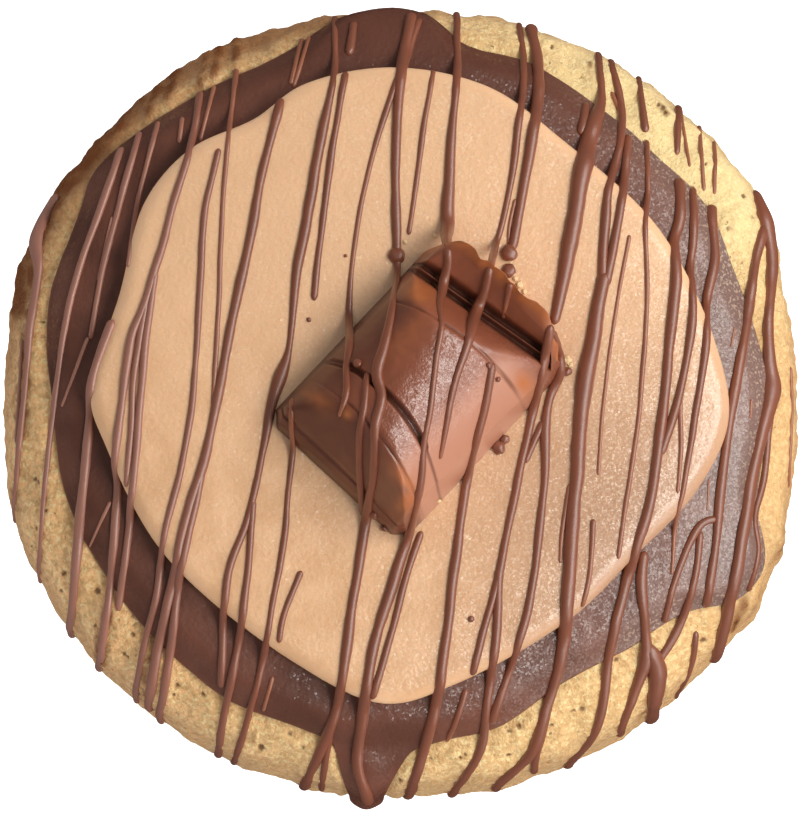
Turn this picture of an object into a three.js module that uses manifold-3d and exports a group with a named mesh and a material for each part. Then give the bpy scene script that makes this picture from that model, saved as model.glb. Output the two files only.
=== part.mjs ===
// A stuffed cookie: a thick baked round, a pool of chocolate on it, a smaller pool of hazelnut cream,
// a broken-off piece of a filled chocolate bar, and chocolate drizzled across all of them.
// Millimetres, +Z up. The origin is under the middle of the cookie, on the surface it rests on.
import * as THREE from "three";
import { mergeVertices } from "three/addons/utils/BufferGeometryUtils.js";
import Module from "manifold-3d";

// Baked round: a dome over its widest level, rounded in again to a flat foot
const COOKIE_TOP = 26;
const COOKIE_WAIST = 10;
const COOKIE_FOOT = 0.86;
const COOKIE_SQUARENESS = 3.8;
const COOKIE_AROUND = 72;
// Rows of points on its top, in degrees of slant from the top centre, and on its side from the foot up
const TOP_SLANTS = [24, 36, 46, 55, 64, 73];
const SIDE_SLANTS = [180, 150, 125, 105, 90, 82];
// Low bumps of its crust: how high, how far from the chocolate and from the foot they reach full height,
// and the crossing waves they come from, as [x, y, z] turns in radians per millimetre, start and weight
const CRUST_RELIEF = 0.18;
const CRUST_FADE_BY_CHOCOLATE = [1, 3.5];
const CRUST_FADE_BY_FOOT = [0.5, 4];
const CRUST_WAVES = [
  { turns: new THREE.Vector3(0.61, 0.53, 0), start: 0.5, weight: 0.5 },
  { turns: new THREE.Vector3(0.61, -0.53, 0), start: 1.3, weight: 0.5 },
  { turns: new THREE.Vector3(0.29, -0.71, 0.5), start: 0, weight: 0.6 },
];
// Its radius seen from above, every 15 degrees from +X
const RIM_RADII = [
  49.5, 49.9, 51.6, 51.0, 50.4, 49.9, 49.2, 49.5, 50.2, 50.0, 50.2, 49.9,
  49.3, 50.0, 49.8, 49.5, 48.9, 48.7, 48.3, 49.0, 49.3, 49.9, 50.9, 50.1,
];

// Layers on the baked round, with the space left between touching pieces
const GAP = 0.4;
const CHOCOLATE_THICKNESS = 1.8;
const CHOCOLATE_AROUND = 108;
const CREAM_THICKNESS = 2.6;
const CREAM_AROUND = 60;
const PLATEAU_RADIUS = 22;
// Rounded edge of a pool: how far out each row lies as a share of the edge, and how high in the thickness
const POOL_UNDERSIDE = 0.97;
const POOL_TOP = 0.94;
const POOL_LIP_HEIGHT = 0.45;
const POOL_LIP = [[0.985, 0.04], [1, POOL_LIP_HEIGHT], [0.985, 0.8]];
// Edges of the two pools seen from above, as [x, y] points of a smooth closed line
const CHOCOLATE_EDGE = [
  [-0.5, 49.5], [3, 48.7], [5.2, 46.8], [8.2, 43.9], [16, 41.6], [24.5, 36.2], [31, 30.7],
  [38.6, 22.9], [41.5, 15.7], [44.5, 7], [46, -1.5], [44.4, -13.5], [45.4, -21.2], [42, -25.6],
  [35.3, -27.6], [28, -32.2], [20, -36.5], [12, -41.9], [5, -43.6], [1.6, -44.7], [-1, -46.7],
  [-4.1, -49.4], [-6.8, -46.6], [-8.4, -43.8], [-12, -42.2], [-22, -38], [-31.8, -29.2],
  [-37.5, -21.4], [-41.5, -12.8], [-43.2, -1.7], [-43.8, 11.4], [-40, 22.7], [-38, 28.3],
  [-26, 37.2], [-14, 43.2], [-10, 46.2], [-7.6, 48.2], [-4.2, 49.2],
];
const CREAM_EDGE = [
  [-1, 40], [11, 37.5], [20, 30.9], [32, 19.7], [39.2, 4.7], [40.5, -4.3], [36.5, -13.1],
  [29, -21.1], [21, -28.9], [6.5, -37.1], [-2, -39.3], [-13, -34.3], [-29, -21], [-36.4, -7.2],
  [-38.2, -1.2], [-34.6, 11.7], [-31.5, 23.2], [-26, 29.7], [-18, 33.5], [-12, 37.8],
];

// Bar piece, in its own directions: u along the bar, v across it
const BAR_CENTRE = new THREE.Vector2(2.45, -0.85);
const BAR_TURN = THREE.MathUtils.degToRad(47);
const BAR_HALF_WIDTH = 11.3;
const BAR_PLINTH = 1.4;
const BAR_HEIGHT = 13;
const BAR_ROUNDNESS = 5;
// Along the bar: end of the moulded hump, its flat top, the break groove, and the stub broken off beyond it
const HUMP_START = -15.5;
const HUMP_TOP_START = -8.35;
const HUMP_TOP_END = 7.4;
const GROOVE_START = 11.1;
const GROOVE_END = 12.6;
const STUB_END = 16.4;
const STUB_CORNER_CUT = 3.8;
const STUB_STRAIGHT_SHARE = 0.58;
// Those lines are not straight across: two are arcs with a bend and a middle, and the groove is askew
const START_ARC = { bend: 0.0117, middle: 5 };
const END_ARC = { bend: 0.0125, middle: -5 };
const GROOVE_SKEW = 0.135;
// The hump is an arch across the bar, with its crest a little askew
const CREST_MIDDLE = 0.6;
const CREST_SKEW = 0.3;
const CREST_LIMIT = 3;
const ARCH_POWER = 0.7;
// Heights as shares of the hump's rise
const GROOVE_LEVEL = 0.42;
const STUB_LEVEL = 0.74;
const LOWEST_RISE = 0.01;
// Lines of points along and across the bar
const BAR_LINES_U = [
  HUMP_START, -14, -11.4, HUMP_TOP_START, -4.5, 0, 4, HUMP_TOP_END, 9.3,
  GROOVE_START, GROOVE_END, 14.6, STUB_END,
];
const BAR_SHARES_V = [-1, -0.95, -0.8, -0.55, -0.25, 0.1, 0.4, 0.65, 0.85, 0.96, 1];

// Drizzle: each row is a strand's width, then its course seen from above as [x, y] points, top end first
const STRAND_SIDES = 5;
const STRAND_STEP = 6;
const STRAND_RISE = 0.15;
const STRAND_CLEARANCE = 0.45;
const SHORTEST_RUN = 2.4;
const SAMPLES_PER_MM = 2;
const STRANDS = [
  [1.5, [-42.5, 25], [-45, 15.5], [-46.5, 5.5], [-47.3, -5.5], [-47.5, -12]],
  [1.0, [-34.7, 30], [-38, 20.5], [-41.5, 9], [-43.3, -2], [-44.6, -19]],
  [1.3, [-36, 8.5], [-38.6, -1.5], [-39, -9.5], [-40.5, -27]],
  [1.1, [-24.8, 36.8], [-28, 24], [-32.3, 9.5], [-34.8, -2.5], [-36.6, -27], [-37.2, -32]],
  [1.0, [-31.5, 9.5], [-32.4, -1.5], [-33.5, -14], [-35, -26]],
  [1.2, [-14.8, 36], [-19, 17.5], [-23, -2.5], [-26.5, -15.5], [-30, -31], [-31.4, -37]],
  [1.0, [-24.8, -10.5], [-27.4, -23], [-30, -38.6]],
  [1.5, [-8.3, 47.8], [-8.2, 39.5], [-11.5, 21.5], [-16, -1.5], [-19.2, -17], [-21.9, -26.5], [-22.3, -37]],
  [1.1, [-18.9, -21.5], [-19.7, -29], [-22.7, -43.4]],
  [1.0, [-6.8, 39.3], [-8.3, 30.5], [-10.8, 10.8]],
  [
    1.3,
    [1.5, 48.8], [-0.5, 29.5], [-0.3, 16.5], [-1.5, 6], [-3.5, -8.5], [-5, -21.5], [-7.5, -38.5], [-12, -47],
  ],
  [
    1.3,
    [7.3, 48.2], [6.4, 30.5], [5.5, 13], [3.8, -3.5], [0.6, -19], [-3.3, -32.5], [-4.6, -43], [-4, -47.5],
  ],
  [1.1, [14.9, 46.9], [14.8, 32.5], [11.9, 17], [9, 8.5], [7, -1], [5, -9.5]],
  [1.5, [16.3, 46.5], [17.3, 40], [15.3, 24], [13.9, 14.5], [13.2, 9]],
  [1.2, [11.8, 3.5], [8.6, -10.5], [5.9, -30.5], [1, -47.7]],
  [1.7, [24.9, 42.4], [23.8, 32.5], [20.8, 15.5], [19, 8], [16.2, -4], [12, -25], [9, -36]],
  [1.2, [12, -27.5], [11, -38], [6.5, -47.6]],
  [1.2, [19.7, 6], [17.9, -8], [16.3, -26.5], [11.3, -41]],
  [1.7, [27.6, 36.5], [26.2, 25.5], [24.2, 6.5], [22.1, -10.5], [20, -34], [12, -46.8]],
  [1.4, [34.8, 26.5], [34.5, 13.5], [32, -9.5], [27.5, -27.5], [24.2, -41], [21, -44]],
  [1.1, [36.5, 25], [36.6, 9.5], [32.8, -7.5]],
  [1.1, [38.8, 22.5], [38.3, 7.5], [35.3, -13.5]],
  [1.6, [44.3, 25.5], [46, 18], [45.9, 8], [46.3, -2], [43.7, -12], [41.2, -25], [38.5, -32.5]],
  [1.3, [44.5, 17], [43.3, 9], [41.1, -4.5], [39.7, -17], [38.2, -26.5]],
  [1.0, [38, -17], [36.5, -18], [33, -31.5]],
  [1.5, [30.5, -20.5], [30.8, -30], [31, -38.6]],
];

// How finely outlines and slants are worked out
const POINTS_PER_SPAN = 16;
const SLANT_HALVINGS = 30;
const SMALL_SLANT = 0.002;
const MERGE_DISTANCE = 1e-4;

const wasm = await Module();
wasm.setup();

// Outlines seen from above

function closedLine(points) {
  const places = points.map(([x, y]) => new THREE.Vector3(x, y, 0));
  return new THREE.CatmullRomCurve3(places, true).getPoints(points.length * POINTS_PER_SPAN);
}

// Radius of a closed line round the origin in the direction of an angle
function radiusOf(line, angle) {
  for (let i = 1; i < line.length; i += 1) {
    const before = turnFrom(angle, line[i - 1]);
    const after = turnFrom(angle, line[i]);
    if (before * after <= 0 && Math.abs(before - after) < 1) {
      const share = before === after ? 0 : before / (before - after);
      return line[i - 1].clone().lerp(line[i], share).length();
    }
  }
  throw new Error("the line does not go round the origin");
}

function turnFrom(angle, point) {
  const turn = Math.atan2(point.y, point.x) - angle;
  return Math.atan2(Math.sin(turn), Math.cos(turn));
}

// Distance from a point to a closed line, negative inside it
function distanceTo(line, x, y) {
  const place = new THREE.Vector3(x, y, 0);
  const nearest = Math.min(...line.map((point) => point.distanceTo(place)));
  return place.length() < radiusOf(line, Math.atan2(y, x)) ? -nearest : nearest;
}

const rimLine = closedLine(RIM_RADII.map((radius, index) => {
  const angle = (index / RIM_RADII.length) * 2 * Math.PI;
  return [radius * Math.cos(angle), radius * Math.sin(angle)];
}));
const chocolateLine = closedLine(CHOCOLATE_EDGE);
const creamLine = closedLine(CREAM_EDGE);

// Surface of the baked round: the slant is 0 at the top centre, 90 degrees at the waist, 180 at the foot

function cookieProfile(slant) {
  const power = 2 / COOKIE_SQUARENESS;
  const out = Math.abs(Math.sin(slant)) ** power;
  const up = Math.abs(Math.cos(slant)) ** power;
  if (slant <= Math.PI / 2) {
    return { reach: out, z: COOKIE_WAIST + (COOKIE_TOP - COOKIE_WAIST) * up };
  }
  return { reach: COOKIE_FOOT + (1 - COOKIE_FOOT) * out, z: COOKIE_WAIST * (1 - up) };
}

// Point on the baked round, lifted off it along its outward direction
function cookiePoint(angle, slant, lift) {
  const rim = radiusOf(rimLine, angle);
  const here = cookieProfile(slant);
  const inner = cookieProfile(Math.max(slant - SMALL_SLANT, 0));
  const outer = cookieProfile(slant + SMALL_SLANT);
  const normal = new THREE.Vector2(inner.z - outer.z, (outer.reach - inner.reach) * rim).normalize();
  const radius = here.reach * rim + lift * (slant === 0 ? 0 : normal.x);
  const z = here.z + lift * (slant === 0 ? 1 : normal.y);
  return new THREE.Vector3(radius * Math.cos(angle), radius * Math.sin(angle), z);
}

// Slant at which a surface lifted off the baked round lies at a given distance from the axis
function slantAt(angle, radius, lift) {
  let low = 0;
  let high = Math.PI / 2;
  for (let step = 0; step < SLANT_HALVINGS; step += 1) {
    const middle = (low + high) / 2;
    const place = cookiePoint(angle, middle, lift);
    if (Math.hypot(place.x, place.y) < radius) {
      low = middle;
    } else {
      high = middle;
    }
  }
  return low;
}

// Low bumps of the crust, faded out under the chocolate and at the foot
function crustRelief(place) {
  const heights = CRUST_WAVES.map(({ turns, start, weight }) => weight * Math.sin(turns.dot(place) + start));
  const waves = heights.reduce((sum, height) => sum + height, 0);
  const fromChocolate = distanceTo(chocolateLine, place.x, place.y);
  const open = THREE.MathUtils.smoothstep(fromChocolate, ...CRUST_FADE_BY_CHOCOLATE);
  const side = THREE.MathUtils.smoothstep(place.z, ...CRUST_FADE_BY_FOOT);
  return CRUST_RELIEF * waves * open * side;
}

// Solids

// A turned drum with the given rows, reshaped point by point: its two ends go to the lowest and
// highest points on the axis, and each other point is placed from its row and angle
function turnedForm(rows, around, lowest, highest, place) {
  const wall = rows.map((row, index) => new THREE.Vector2(1, index));
  const profile = [new THREE.Vector2(0, 0), ...wall, new THREE.Vector2(0, rows.length)];
  const geometry = new THREE.LatheGeometry(profile, around);
  geometry.rotateX(Math.PI / 2);
  const position = geometry.getAttribute("position");
  for (let i = 0; i < position.count; i += 1) {
    const [x, y, z] = [position.getX(i), position.getY(i), Math.round(position.getZ(i))];
    const onAxis = Math.hypot(x, y) < 0.5;
    const axisPoint = new THREE.Vector3(0, 0, z === 0 ? lowest : highest);
    const moved = onAxis ? axisPoint : place(rows[z], Math.atan2(y, x));
    position.setXYZ(i, moved.x, moved.y, moved.z);
  }
  return geometry;
}

function solidOf(geometry) {
  geometry.deleteAttribute("normal");
  geometry.deleteAttribute("uv");
  const merged = mergeVertices(geometry, MERGE_DISTANCE);
  const triangles = [];
  for (let i = 0; i < merged.index.count; i += 3) {
    const [a, b, c] = [0, 1, 2].map((corner) => merged.index.getX(i + corner));
    if (a !== b && b !== c && c !== a) {
      triangles.push(a, b, c);
    }
  }
  return new wasm.Manifold(new wasm.Mesh({
    numProp: 3,
    vertProperties: new Float32Array(merged.getAttribute("position").array),
    triVerts: new Uint32Array(triangles),
  }));
}

function geometryOf(solid) {
  const { vertProperties, triVerts } = solid.getMesh();
  const geometry = new THREE.BufferGeometry();
  geometry.setAttribute("position", new THREE.BufferAttribute(vertProperties, 3));
  geometry.setIndex(new THREE.BufferAttribute(triVerts, 1));
  geometry.computeVertexNormals();
  return geometry;
}

function cookieSolid() {
  const slants = [...SIDE_SLANTS, ...TOP_SLANTS.toReversed()];
  return solidOf(turnedForm(slants, COOKIE_AROUND, 0, COOKIE_TOP, (degrees, angle) => {
    const slant = THREE.MathUtils.degToRad(degrees);
    const place = cookiePoint(angle, slant, 0);
    return cookiePoint(angle, slant, crustRelief(place));
  }));
}

// A pool that lies on the baked round at a given lift, full to near its edge and rounded there.
// Its rows follow the round's own rows out to the edge, so that the two surfaces run side by side.
function poolSolid(line, around, lift, thickness, ceiling) {
  const under = TOP_SLANTS.map((degrees) => ({ degrees, limit: POOL_UNDERSIDE, full: 0 }));
  const lip = POOL_LIP.map(([limit, full]) => ({ degrees: 90, limit, full }));
  const over = TOP_SLANTS.toReversed().map((degrees) => ({ degrees, limit: POOL_TOP, full: 1 }));
  const rows = [...under, ...lip, ...over];
  const floor = COOKIE_TOP + lift;
  const top = Math.min(floor + thickness, ceiling);
  return solidOf(turnedForm(rows, around, floor, top, ({ degrees, limit, full }, angle) => {
    const edge = slantAt(angle, radiusOf(line, angle), lift + thickness * POOL_LIP_HEIGHT);
    const slant = Math.min(THREE.MathUtils.degToRad(degrees), edge * limit);
    const place = cookiePoint(angle, slant, lift + thickness * full);
    place.z = Math.min(place.z, ceiling);
    return place;
  }));
}

const chocolateLift = GAP;
const chocolateTop = chocolateLift + CHOCOLATE_THICKNESS;
const creamLift = chocolateTop + GAP;
const creamTop = creamLift + CREAM_THICKNESS;
const plateau = cookiePoint(0, slantAt(0, PLATEAU_RADIUS, creamTop), creamTop).z;
const barFloor = plateau + GAP;

// Bar piece

function alongBar(x, y) {
  const place = new THREE.Vector2(x, y).sub(BAR_CENTRE).rotateAround(new THREE.Vector2(), -BAR_TURN);
  return { u: place.x, v: place.y };
}

// The stub's end is cut back towards its two corners
function stubReach(v) {
  const share = Math.abs(v) / BAR_HALF_WIDTH;
  const corner = Math.max(0, share - STUB_STRAIGHT_SHARE) / (1 - STUB_STRAIGHT_SHARE);
  return STUB_END - STUB_CORNER_CUT * corner ** 2;
}

function arcShift({ bend, middle }, v) {
  return -bend * (v - middle) ** 2;
}

// Place along the bar of a line across it, bent as the lines of the hump, groove and stub are
function bentLine(line, v) {
  const stops = [
    [HUMP_START, 0],
    [HUMP_TOP_START, arcShift(START_ARC, v)],
    [0, 0],
    [HUMP_TOP_END, arcShift(END_ARC, v)],
    [GROOVE_START, -GROOVE_SKEW * v],
    [GROOVE_END, -GROOVE_SKEW * v],
    [STUB_END, stubReach(v) - STUB_END],
  ];
  const next = Math.max(1, stops.findIndex(([place]) => line <= place));
  const [[start, startShift], [end, endShift]] = [stops[next - 1], stops[next]];
  return line + THREE.MathUtils.mapLinear(line, start, end, startShift, endShift);
}

// The line across the bar that passes through a point
function lineThrough(u, v) {
  let low = HUMP_START;
  let high = STUB_END;
  for (let step = 0; step < SLANT_HALVINGS; step += 1) {
    const middle = (low + high) / 2;
    if (bentLine(middle, v) < u) {
      low = middle;
    } else {
      high = middle;
    }
  }
  return low;
}

// Share of the hump's rise that the break at the bar's far end leaves on a line across it
function riseAtBreak(line) {
  if (line <= HUMP_TOP_END) {
    return Infinity;
  }
  if (line <= GROOVE_START) {
    return THREE.MathUtils.mapLinear(line, HUMP_TOP_END, GROOVE_START, 1, GROOVE_LEVEL);
  }
  if (line <= GROOVE_END) {
    return GROOVE_LEVEL;
  }
  return THREE.MathUtils.mapLinear(line, GROOVE_END, STUB_END, GROOVE_LEVEL, STUB_LEVEL);
}

// Share of the hump's rise that its arch leaves across the bar
function riseOfArch(line, v) {
  const crest = THREE.MathUtils.clamp(CREST_MIDDLE + CREST_SKEW * line, -CREST_LIMIT, CREST_LIMIT);
  const reach = v > crest ? BAR_HALF_WIDTH - crest : BAR_HALF_WIDTH + crest;
  return Math.max(0, 1 - ((v - crest) / reach) ** 2) ** ARCH_POWER;
}

// Height of the bar's top: the least of its slopes, with the edges between them rounded
function barTop(line, v) {
  const start = (line - HUMP_START) / (HUMP_TOP_START - HUMP_START);
  const shares = [start, riseOfArch(line, v), riseAtBreak(line)];
  const powers = shares.map((share) => Math.max(share, LOWEST_RISE) ** -BAR_ROUNDNESS);
  const rise = powers.reduce((sum, power) => sum + power, 0) ** (-1 / BAR_ROUNDNESS);
  return BAR_PLINTH + (BAR_HEIGHT - BAR_PLINTH) * rise;
}

function barSolid() {
  const stepsU = BAR_LINES_U.length - 1;
  const stepsV = BAR_SHARES_V.length - 1;
  const geometry = new THREE.BoxGeometry(1, 1, 1, stepsU, stepsV, 1);
  const position = geometry.getAttribute("position");
  for (let i = 0; i < position.count; i += 1) {
    const v = BAR_HALF_WIDTH * BAR_SHARES_V[Math.round((position.getY(i) + 0.5) * stepsV)];
    const line = BAR_LINES_U[Math.round((position.getX(i) + 0.5) * stepsU)];
    const top = position.getZ(i) > 0 ? barTop(line, v) : 0;
    position.setXYZ(i, bentLine(line, v), v, top);
  }
  geometry.rotateZ(BAR_TURN);
  geometry.translate(BAR_CENTRE.x, BAR_CENTRE.y, barFloor);
  return solidOf(geometry);
}

// Drizzle

// How far a point seen from above lies outside the bar piece, negative inside it
function outsideBar(x, y) {
  const { u, v } = alongBar(x, y);
  return Math.max(HUMP_START - u, u - stubReach(v), Math.abs(v) - BAR_HALF_WIDTH);
}

// The piece whose open top a strand can lie on at a point, if it keeps clear of the others there
function pieceUnder(x, y, margin) {
  const bar = outsideBar(x, y);
  if (bar < margin) {
    return bar < -margin ? "bar" : null;
  }
  const cream = distanceTo(creamLine, x, y);
  if (cream < margin) {
    return cream < -margin ? "cream" : null;
  }
  const chocolate = distanceTo(chocolateLine, x, y);
  if (chocolate < margin) {
    return chocolate < -margin ? "chocolate" : null;
  }
  return "cookie";
}

function pointOn(piece, x, y, rise) {
  if (piece === "bar") {
    const { u, v } = alongBar(x, y);
    return new THREE.Vector3(x, y, barFloor + barTop(lineThrough(u, v), v) + rise);
  }
  const lift = { cookie: 0, chocolate: chocolateTop, cream: creamTop }[piece];
  const angle = Math.atan2(y, x);
  const place = cookiePoint(angle, slantAt(angle, Math.hypot(x, y), lift + rise), lift + rise);
  if (piece === "cream") {
    place.z = Math.min(place.z, plateau + rise);
  }
  return place;
}

// Stretches of a strand that each lie on one piece
function runsOf(width, course) {
  const curve = new THREE.CatmullRomCurve3(course.map(([x, y]) => new THREE.Vector3(x, y, 0)));
  const samples = curve.getSpacedPoints(Math.ceil(curve.getLength() * SAMPLES_PER_MM));
  const margin = width / 2 + STRAND_CLEARANCE;
  const runs = [];
  let last = null;
  for (const { x, y } of samples) {
    const piece = pieceUnder(x, y, margin);
    if (piece && piece !== last) {
      runs.push({ piece, width, places: [] });
    }
    if (piece) {
      runs.at(-1).places.push(pointOn(piece, x, y, width * STRAND_RISE));
    }
    last = piece;
  }
  return runs.filter((run) => run.places.length > SHORTEST_RUN * SAMPLES_PER_MM);
}

function strandSolid({ width, places }) {
  const steps = Math.max(2, Math.round(places.length / SAMPLES_PER_MM / STRAND_STEP));
  const last = places.length - 1;
  const stops = Array.from({ length: steps + 1 }, (_, i) => places[Math.round((i / steps) * last)]);
  const section = new THREE.Shape();
  section.absarc(0, 0, width / 2, 0, 2 * Math.PI);
  const outline = new THREE.Shape(section.getPoints(STRAND_SIDES).slice(0, STRAND_SIDES));
  return solidOf(new THREE.ExtrudeGeometry(outline, {
    steps,
    bevelEnabled: false,
    extrudePath: new THREE.CatmullRomCurve3(stops),
  }));
}

const runs = STRANDS.flatMap(([width, ...course]) => runsOf(width, course));

function withDrizzle(piece, body) {
  return runs.filter((run) => run.piece === piece).reduce((solid, run) => solid.add(strandSolid(run)), body);
}

// Scene graph

function pieceMesh(name, solid, color, roughness) {
  const material = new THREE.MeshStandardMaterial({ color, roughness, metalness: 0 });
  const mesh = new THREE.Mesh(geometryOf(solid), material);
  mesh.name = name;
  return mesh;
}

const chocolateBody = poolSolid(
  chocolateLine, CHOCOLATE_AROUND, chocolateLift, CHOCOLATE_THICKNESS, Infinity,
);
const creamBody = poolSolid(creamLine, CREAM_AROUND, creamLift, CREAM_THICKNESS, plateau);
const stuffedCookie = new THREE.Group();
stuffedCookie.name = "stuffed_cookie";
stuffedCookie.add(
  pieceMesh("cookie", withDrizzle("cookie", cookieSolid()), 0xe0bd7e, 0.8),
  pieceMesh("chocolate_layer", withDrizzle("chocolate", chocolateBody), 0x5f3426, 0.35),
  pieceMesh("cream_layer", withDrizzle("cream", creamBody), 0xe0b484, 0.5),
  pieceMesh("bar_piece", withDrizzle("bar", barSolid()), 0x73412d, 0.45),
);

export default stuffedCookie;
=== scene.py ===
import bisect
import functools
import math
import random

import bmesh
import bpy
from mathutils import Matrix, Vector, noise
from mathutils.bvhtree import BVHTree


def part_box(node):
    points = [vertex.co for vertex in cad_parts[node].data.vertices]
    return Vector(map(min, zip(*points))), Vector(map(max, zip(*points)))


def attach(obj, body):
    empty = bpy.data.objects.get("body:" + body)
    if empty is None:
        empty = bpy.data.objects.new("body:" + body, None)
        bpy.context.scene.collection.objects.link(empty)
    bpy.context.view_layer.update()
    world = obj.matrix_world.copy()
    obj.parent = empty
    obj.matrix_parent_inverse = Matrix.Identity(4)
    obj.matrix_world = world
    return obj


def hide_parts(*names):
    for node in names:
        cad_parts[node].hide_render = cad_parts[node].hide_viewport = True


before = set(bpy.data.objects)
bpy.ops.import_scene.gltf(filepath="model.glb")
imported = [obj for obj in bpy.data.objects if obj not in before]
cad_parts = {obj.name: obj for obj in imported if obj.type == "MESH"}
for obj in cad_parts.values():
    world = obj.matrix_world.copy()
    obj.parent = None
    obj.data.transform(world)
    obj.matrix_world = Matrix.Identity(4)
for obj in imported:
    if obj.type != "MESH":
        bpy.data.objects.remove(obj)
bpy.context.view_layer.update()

bl_info = {
    "name": "Stuffed Cookie",
    "version": (1, 0, 0),
    "blender": (4, 5, 0),
    "location": "3D View > Sidebar > Cookie",
    "description": "A baked round with pools of chocolate and hazelnut cream, a bar piece and drizzle",
    "category": "Add Mesh",
}

# Shapes are worked out in millimetres and scaled to metres at the end
MM = 0.001
QUARTER_TURN = math.pi / 2
FULL_TURN = 2 * math.pi

# Baked round: radius seen from above, every 15 degrees from +X
RIM_RADII = (
    49.5, 49.9, 51.6, 51.0, 50.4, 49.9, 49.2, 49.5, 50.2, 50.0, 50.2, 49.9,
    49.3, 50.0, 49.8, 49.5, 48.9, 48.7, 48.3, 49.0, 49.3, 49.9, 50.9, 50.1,
)
ROUND_SQUARENESS = 3.8
ROUND_FOOT_SHARE = 0.86
ROUND_COLUMNS = 880
ROUND_HIDDEN_SLANTS = (0, 8, 16, 24, 32, 38)
ROUND_OPEN_SLANT = 42
ROUND_ROW_STEP = 0.4
# Direction of the side away from the lights, whose browned edge gets the most painted shade
SHADED_SIDE = Vector((-0.64, 0.77))
# Relief of the crust: low waves, a swelling beside the chocolate, hills, smears and pits
WAVE_HEIGHT = 0.18
SWELLING_HEIGHT = 0.45
SWELLING_MIDDLE = 1.3
SWELLING_REACH = 1.2
HILL_HEIGHT = 0.26
HILL_SIZE = 2.3
GRAIN_SIZE = 1.4
LUMP_SIZE = 3.5
SMEAR_HEIGHT = 0.45
SMEAR_PATCH_SIZE = 1.6
PIT_DEPTH = 0.3
PORE_SPACING = 3.0
PATCH_SIZE = 5.0

# Edges of the two pools seen from above
CHOCOLATE_EDGE = (
    (-0.5, 49.5), (3, 48.7), (5.2, 46.8), (8.2, 43.9), (16, 41.6), (24.5, 36.2), (31, 30.7), (38.6, 22.9),
    (41.5, 15.7), (44.5, 7), (46, -1.5), (44.4, -13.5), (45.4, -21.2), (42, -25.6), (35.3, -27.6),
    (28, -32.2), (20, -36.5), (12, -41.9), (5, -43.6), (1.6, -44.7), (-0.8, -47.2),
    (-4, -49.6), (-6.9, -47), (-8.4, -43.8), (-12, -42.2), (-22, -38), (-31.8, -29.2), (-37.5, -21.4),
    (-41.5, -12.8), (-43.2, -1.7), (-43.8, 11.4), (-40, 22.7), (-38, 28.3), (-26, 37.2),
    (-14, 43.2), (-10, 46.2), (-7.6, 48.2), (-4.2, 49.2),
)
CREAM_EDGE = (
    (-1, 40), (11, 37.5), (20, 30.9), (32, 19.7), (39.2, 4.7), (40.5, -4.3), (36.5, -13.1),
    (29, -21.1), (21, -28.9), (6.5, -37.1), (-2, -39.3), (-13, -34.3), (-29, -21), (-36.4, -7.2),
    (-38.2, -1.2), (-34.6, 11.7), (-31.5, 23.2), (-26, 29.7), (-18, 33.5), (-12, 37.8),
)
# Drip of chocolate over the side: its angle, half width as an angle, and how far its slant reaches
DRIP_ANGLE = math.radians(-94.9)
DRIP_HALF_WIDTH = 0.05
DRIP_SLANT = math.radians(26)
# Points of the chocolate's edge nearer than this are the drip's own, and its shoulder runs straight past them
DRIP_START = -44.2
# How much closer together a dripping pool's columns lie at its drip
DRIP_CLOSENESS = 0.85
# How much fuller the drip gets past the shoulder, and again towards its tip
DRIP_FULLNESS = 0.4
POOL_GAP = 0.4
POOL_SINK = 0.3
POOL_UNDER_SHARES = (0.0, 0.4, 0.7, 0.85)
# Rows of points on the pools' tops: first share of the way to the edge, step between rows, and count
CHOCOLATE_ROWS = (0.98, 0.0155, 40)
CREAM_ROWS = (0.9, 0.0176, 51)
POOL_COLUMNS = 660
POOL_LIP_STEPS = 14
# Shares of the way to the edge between which a pool's grain fades out, and its shoulder fades in
GRAIN_SHARES = (0.97, 0.9)
SHOULDER_SHARES = (0.8, 0.9)
CREAM_PLATEAU_RADIUS = 22

# Bar piece in its own directions: u along it, v across it
BAR_CENTRE = Vector((2.45, -0.85))
BAR_LINES = (320, 220)
BAR_ROUNDNESS = 14
BAR_PLINTH = 1.4
BAR_SINK = 0.2
BAR_LEAST_HEIGHT = 0.2
BAR_STRIP_FOOT = 0.3
BAR_STRIP_SLOPE = 4
# Lines across the bar: ends of the hump, its flat top, the break groove, and the stub broken off beyond it
HUMP_START = -15.5
HUMP_TOP_START = -8.35
HUMP_TOP_END = 7.4
GROOVE_START = 11.1
GROOVE_END = 12.6
STUB_END = 16.4
START_CORNER_CUT = 1.4
START_STRAIGHT_SHARE = 0.84
STUB_CORNER_CUT = 3.8
STUB_STRAIGHT_SHARE = 0.58
STUB_RAGGED = 1.5
# Two of those lines are arcs with a bend and a middle, and the groove is askew
START_ARC = (0.0117, 5)
END_ARC = (0.0125, -5)
GROOVE_SKEW = 0.135
# The hump is an arch across the bar, with its crest a little askew
CREST_MIDDLE = 0.6
CREST_SKEW = 0.3
CREST_LIMIT = 3
ARCH_POWER = 0.7
GROOVE_LEVEL = 0.42
GROOVE_DEPTH = 2.2
GROOVE_REACH = 1.0
GROOVE_FADE = 2.5
RIDGE_REACH = 0.25
RIDGE_SHARE = 0.6
STUB_LEVEL = 0.74
# Moulded channel across the hump, as (u, v) points, which thins to a crease beyond its end
SCORE_LINE = ((-5.9, 11.5), (-4.6, 7), (-4.4, 3), (-4.7, -1.5), (-5.8, -6), (-8.6, -11.8))
SCORE_REACH = 0.46
SCORE_DEPTH = 0.9
SCORE_END = -6.4
SCORE_FADE = 0.5
CREASE_REACH = 0.2
CREASE_DEPTH = 0.35
FOOT_CREASE = HUMP_START + 1.5
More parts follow.
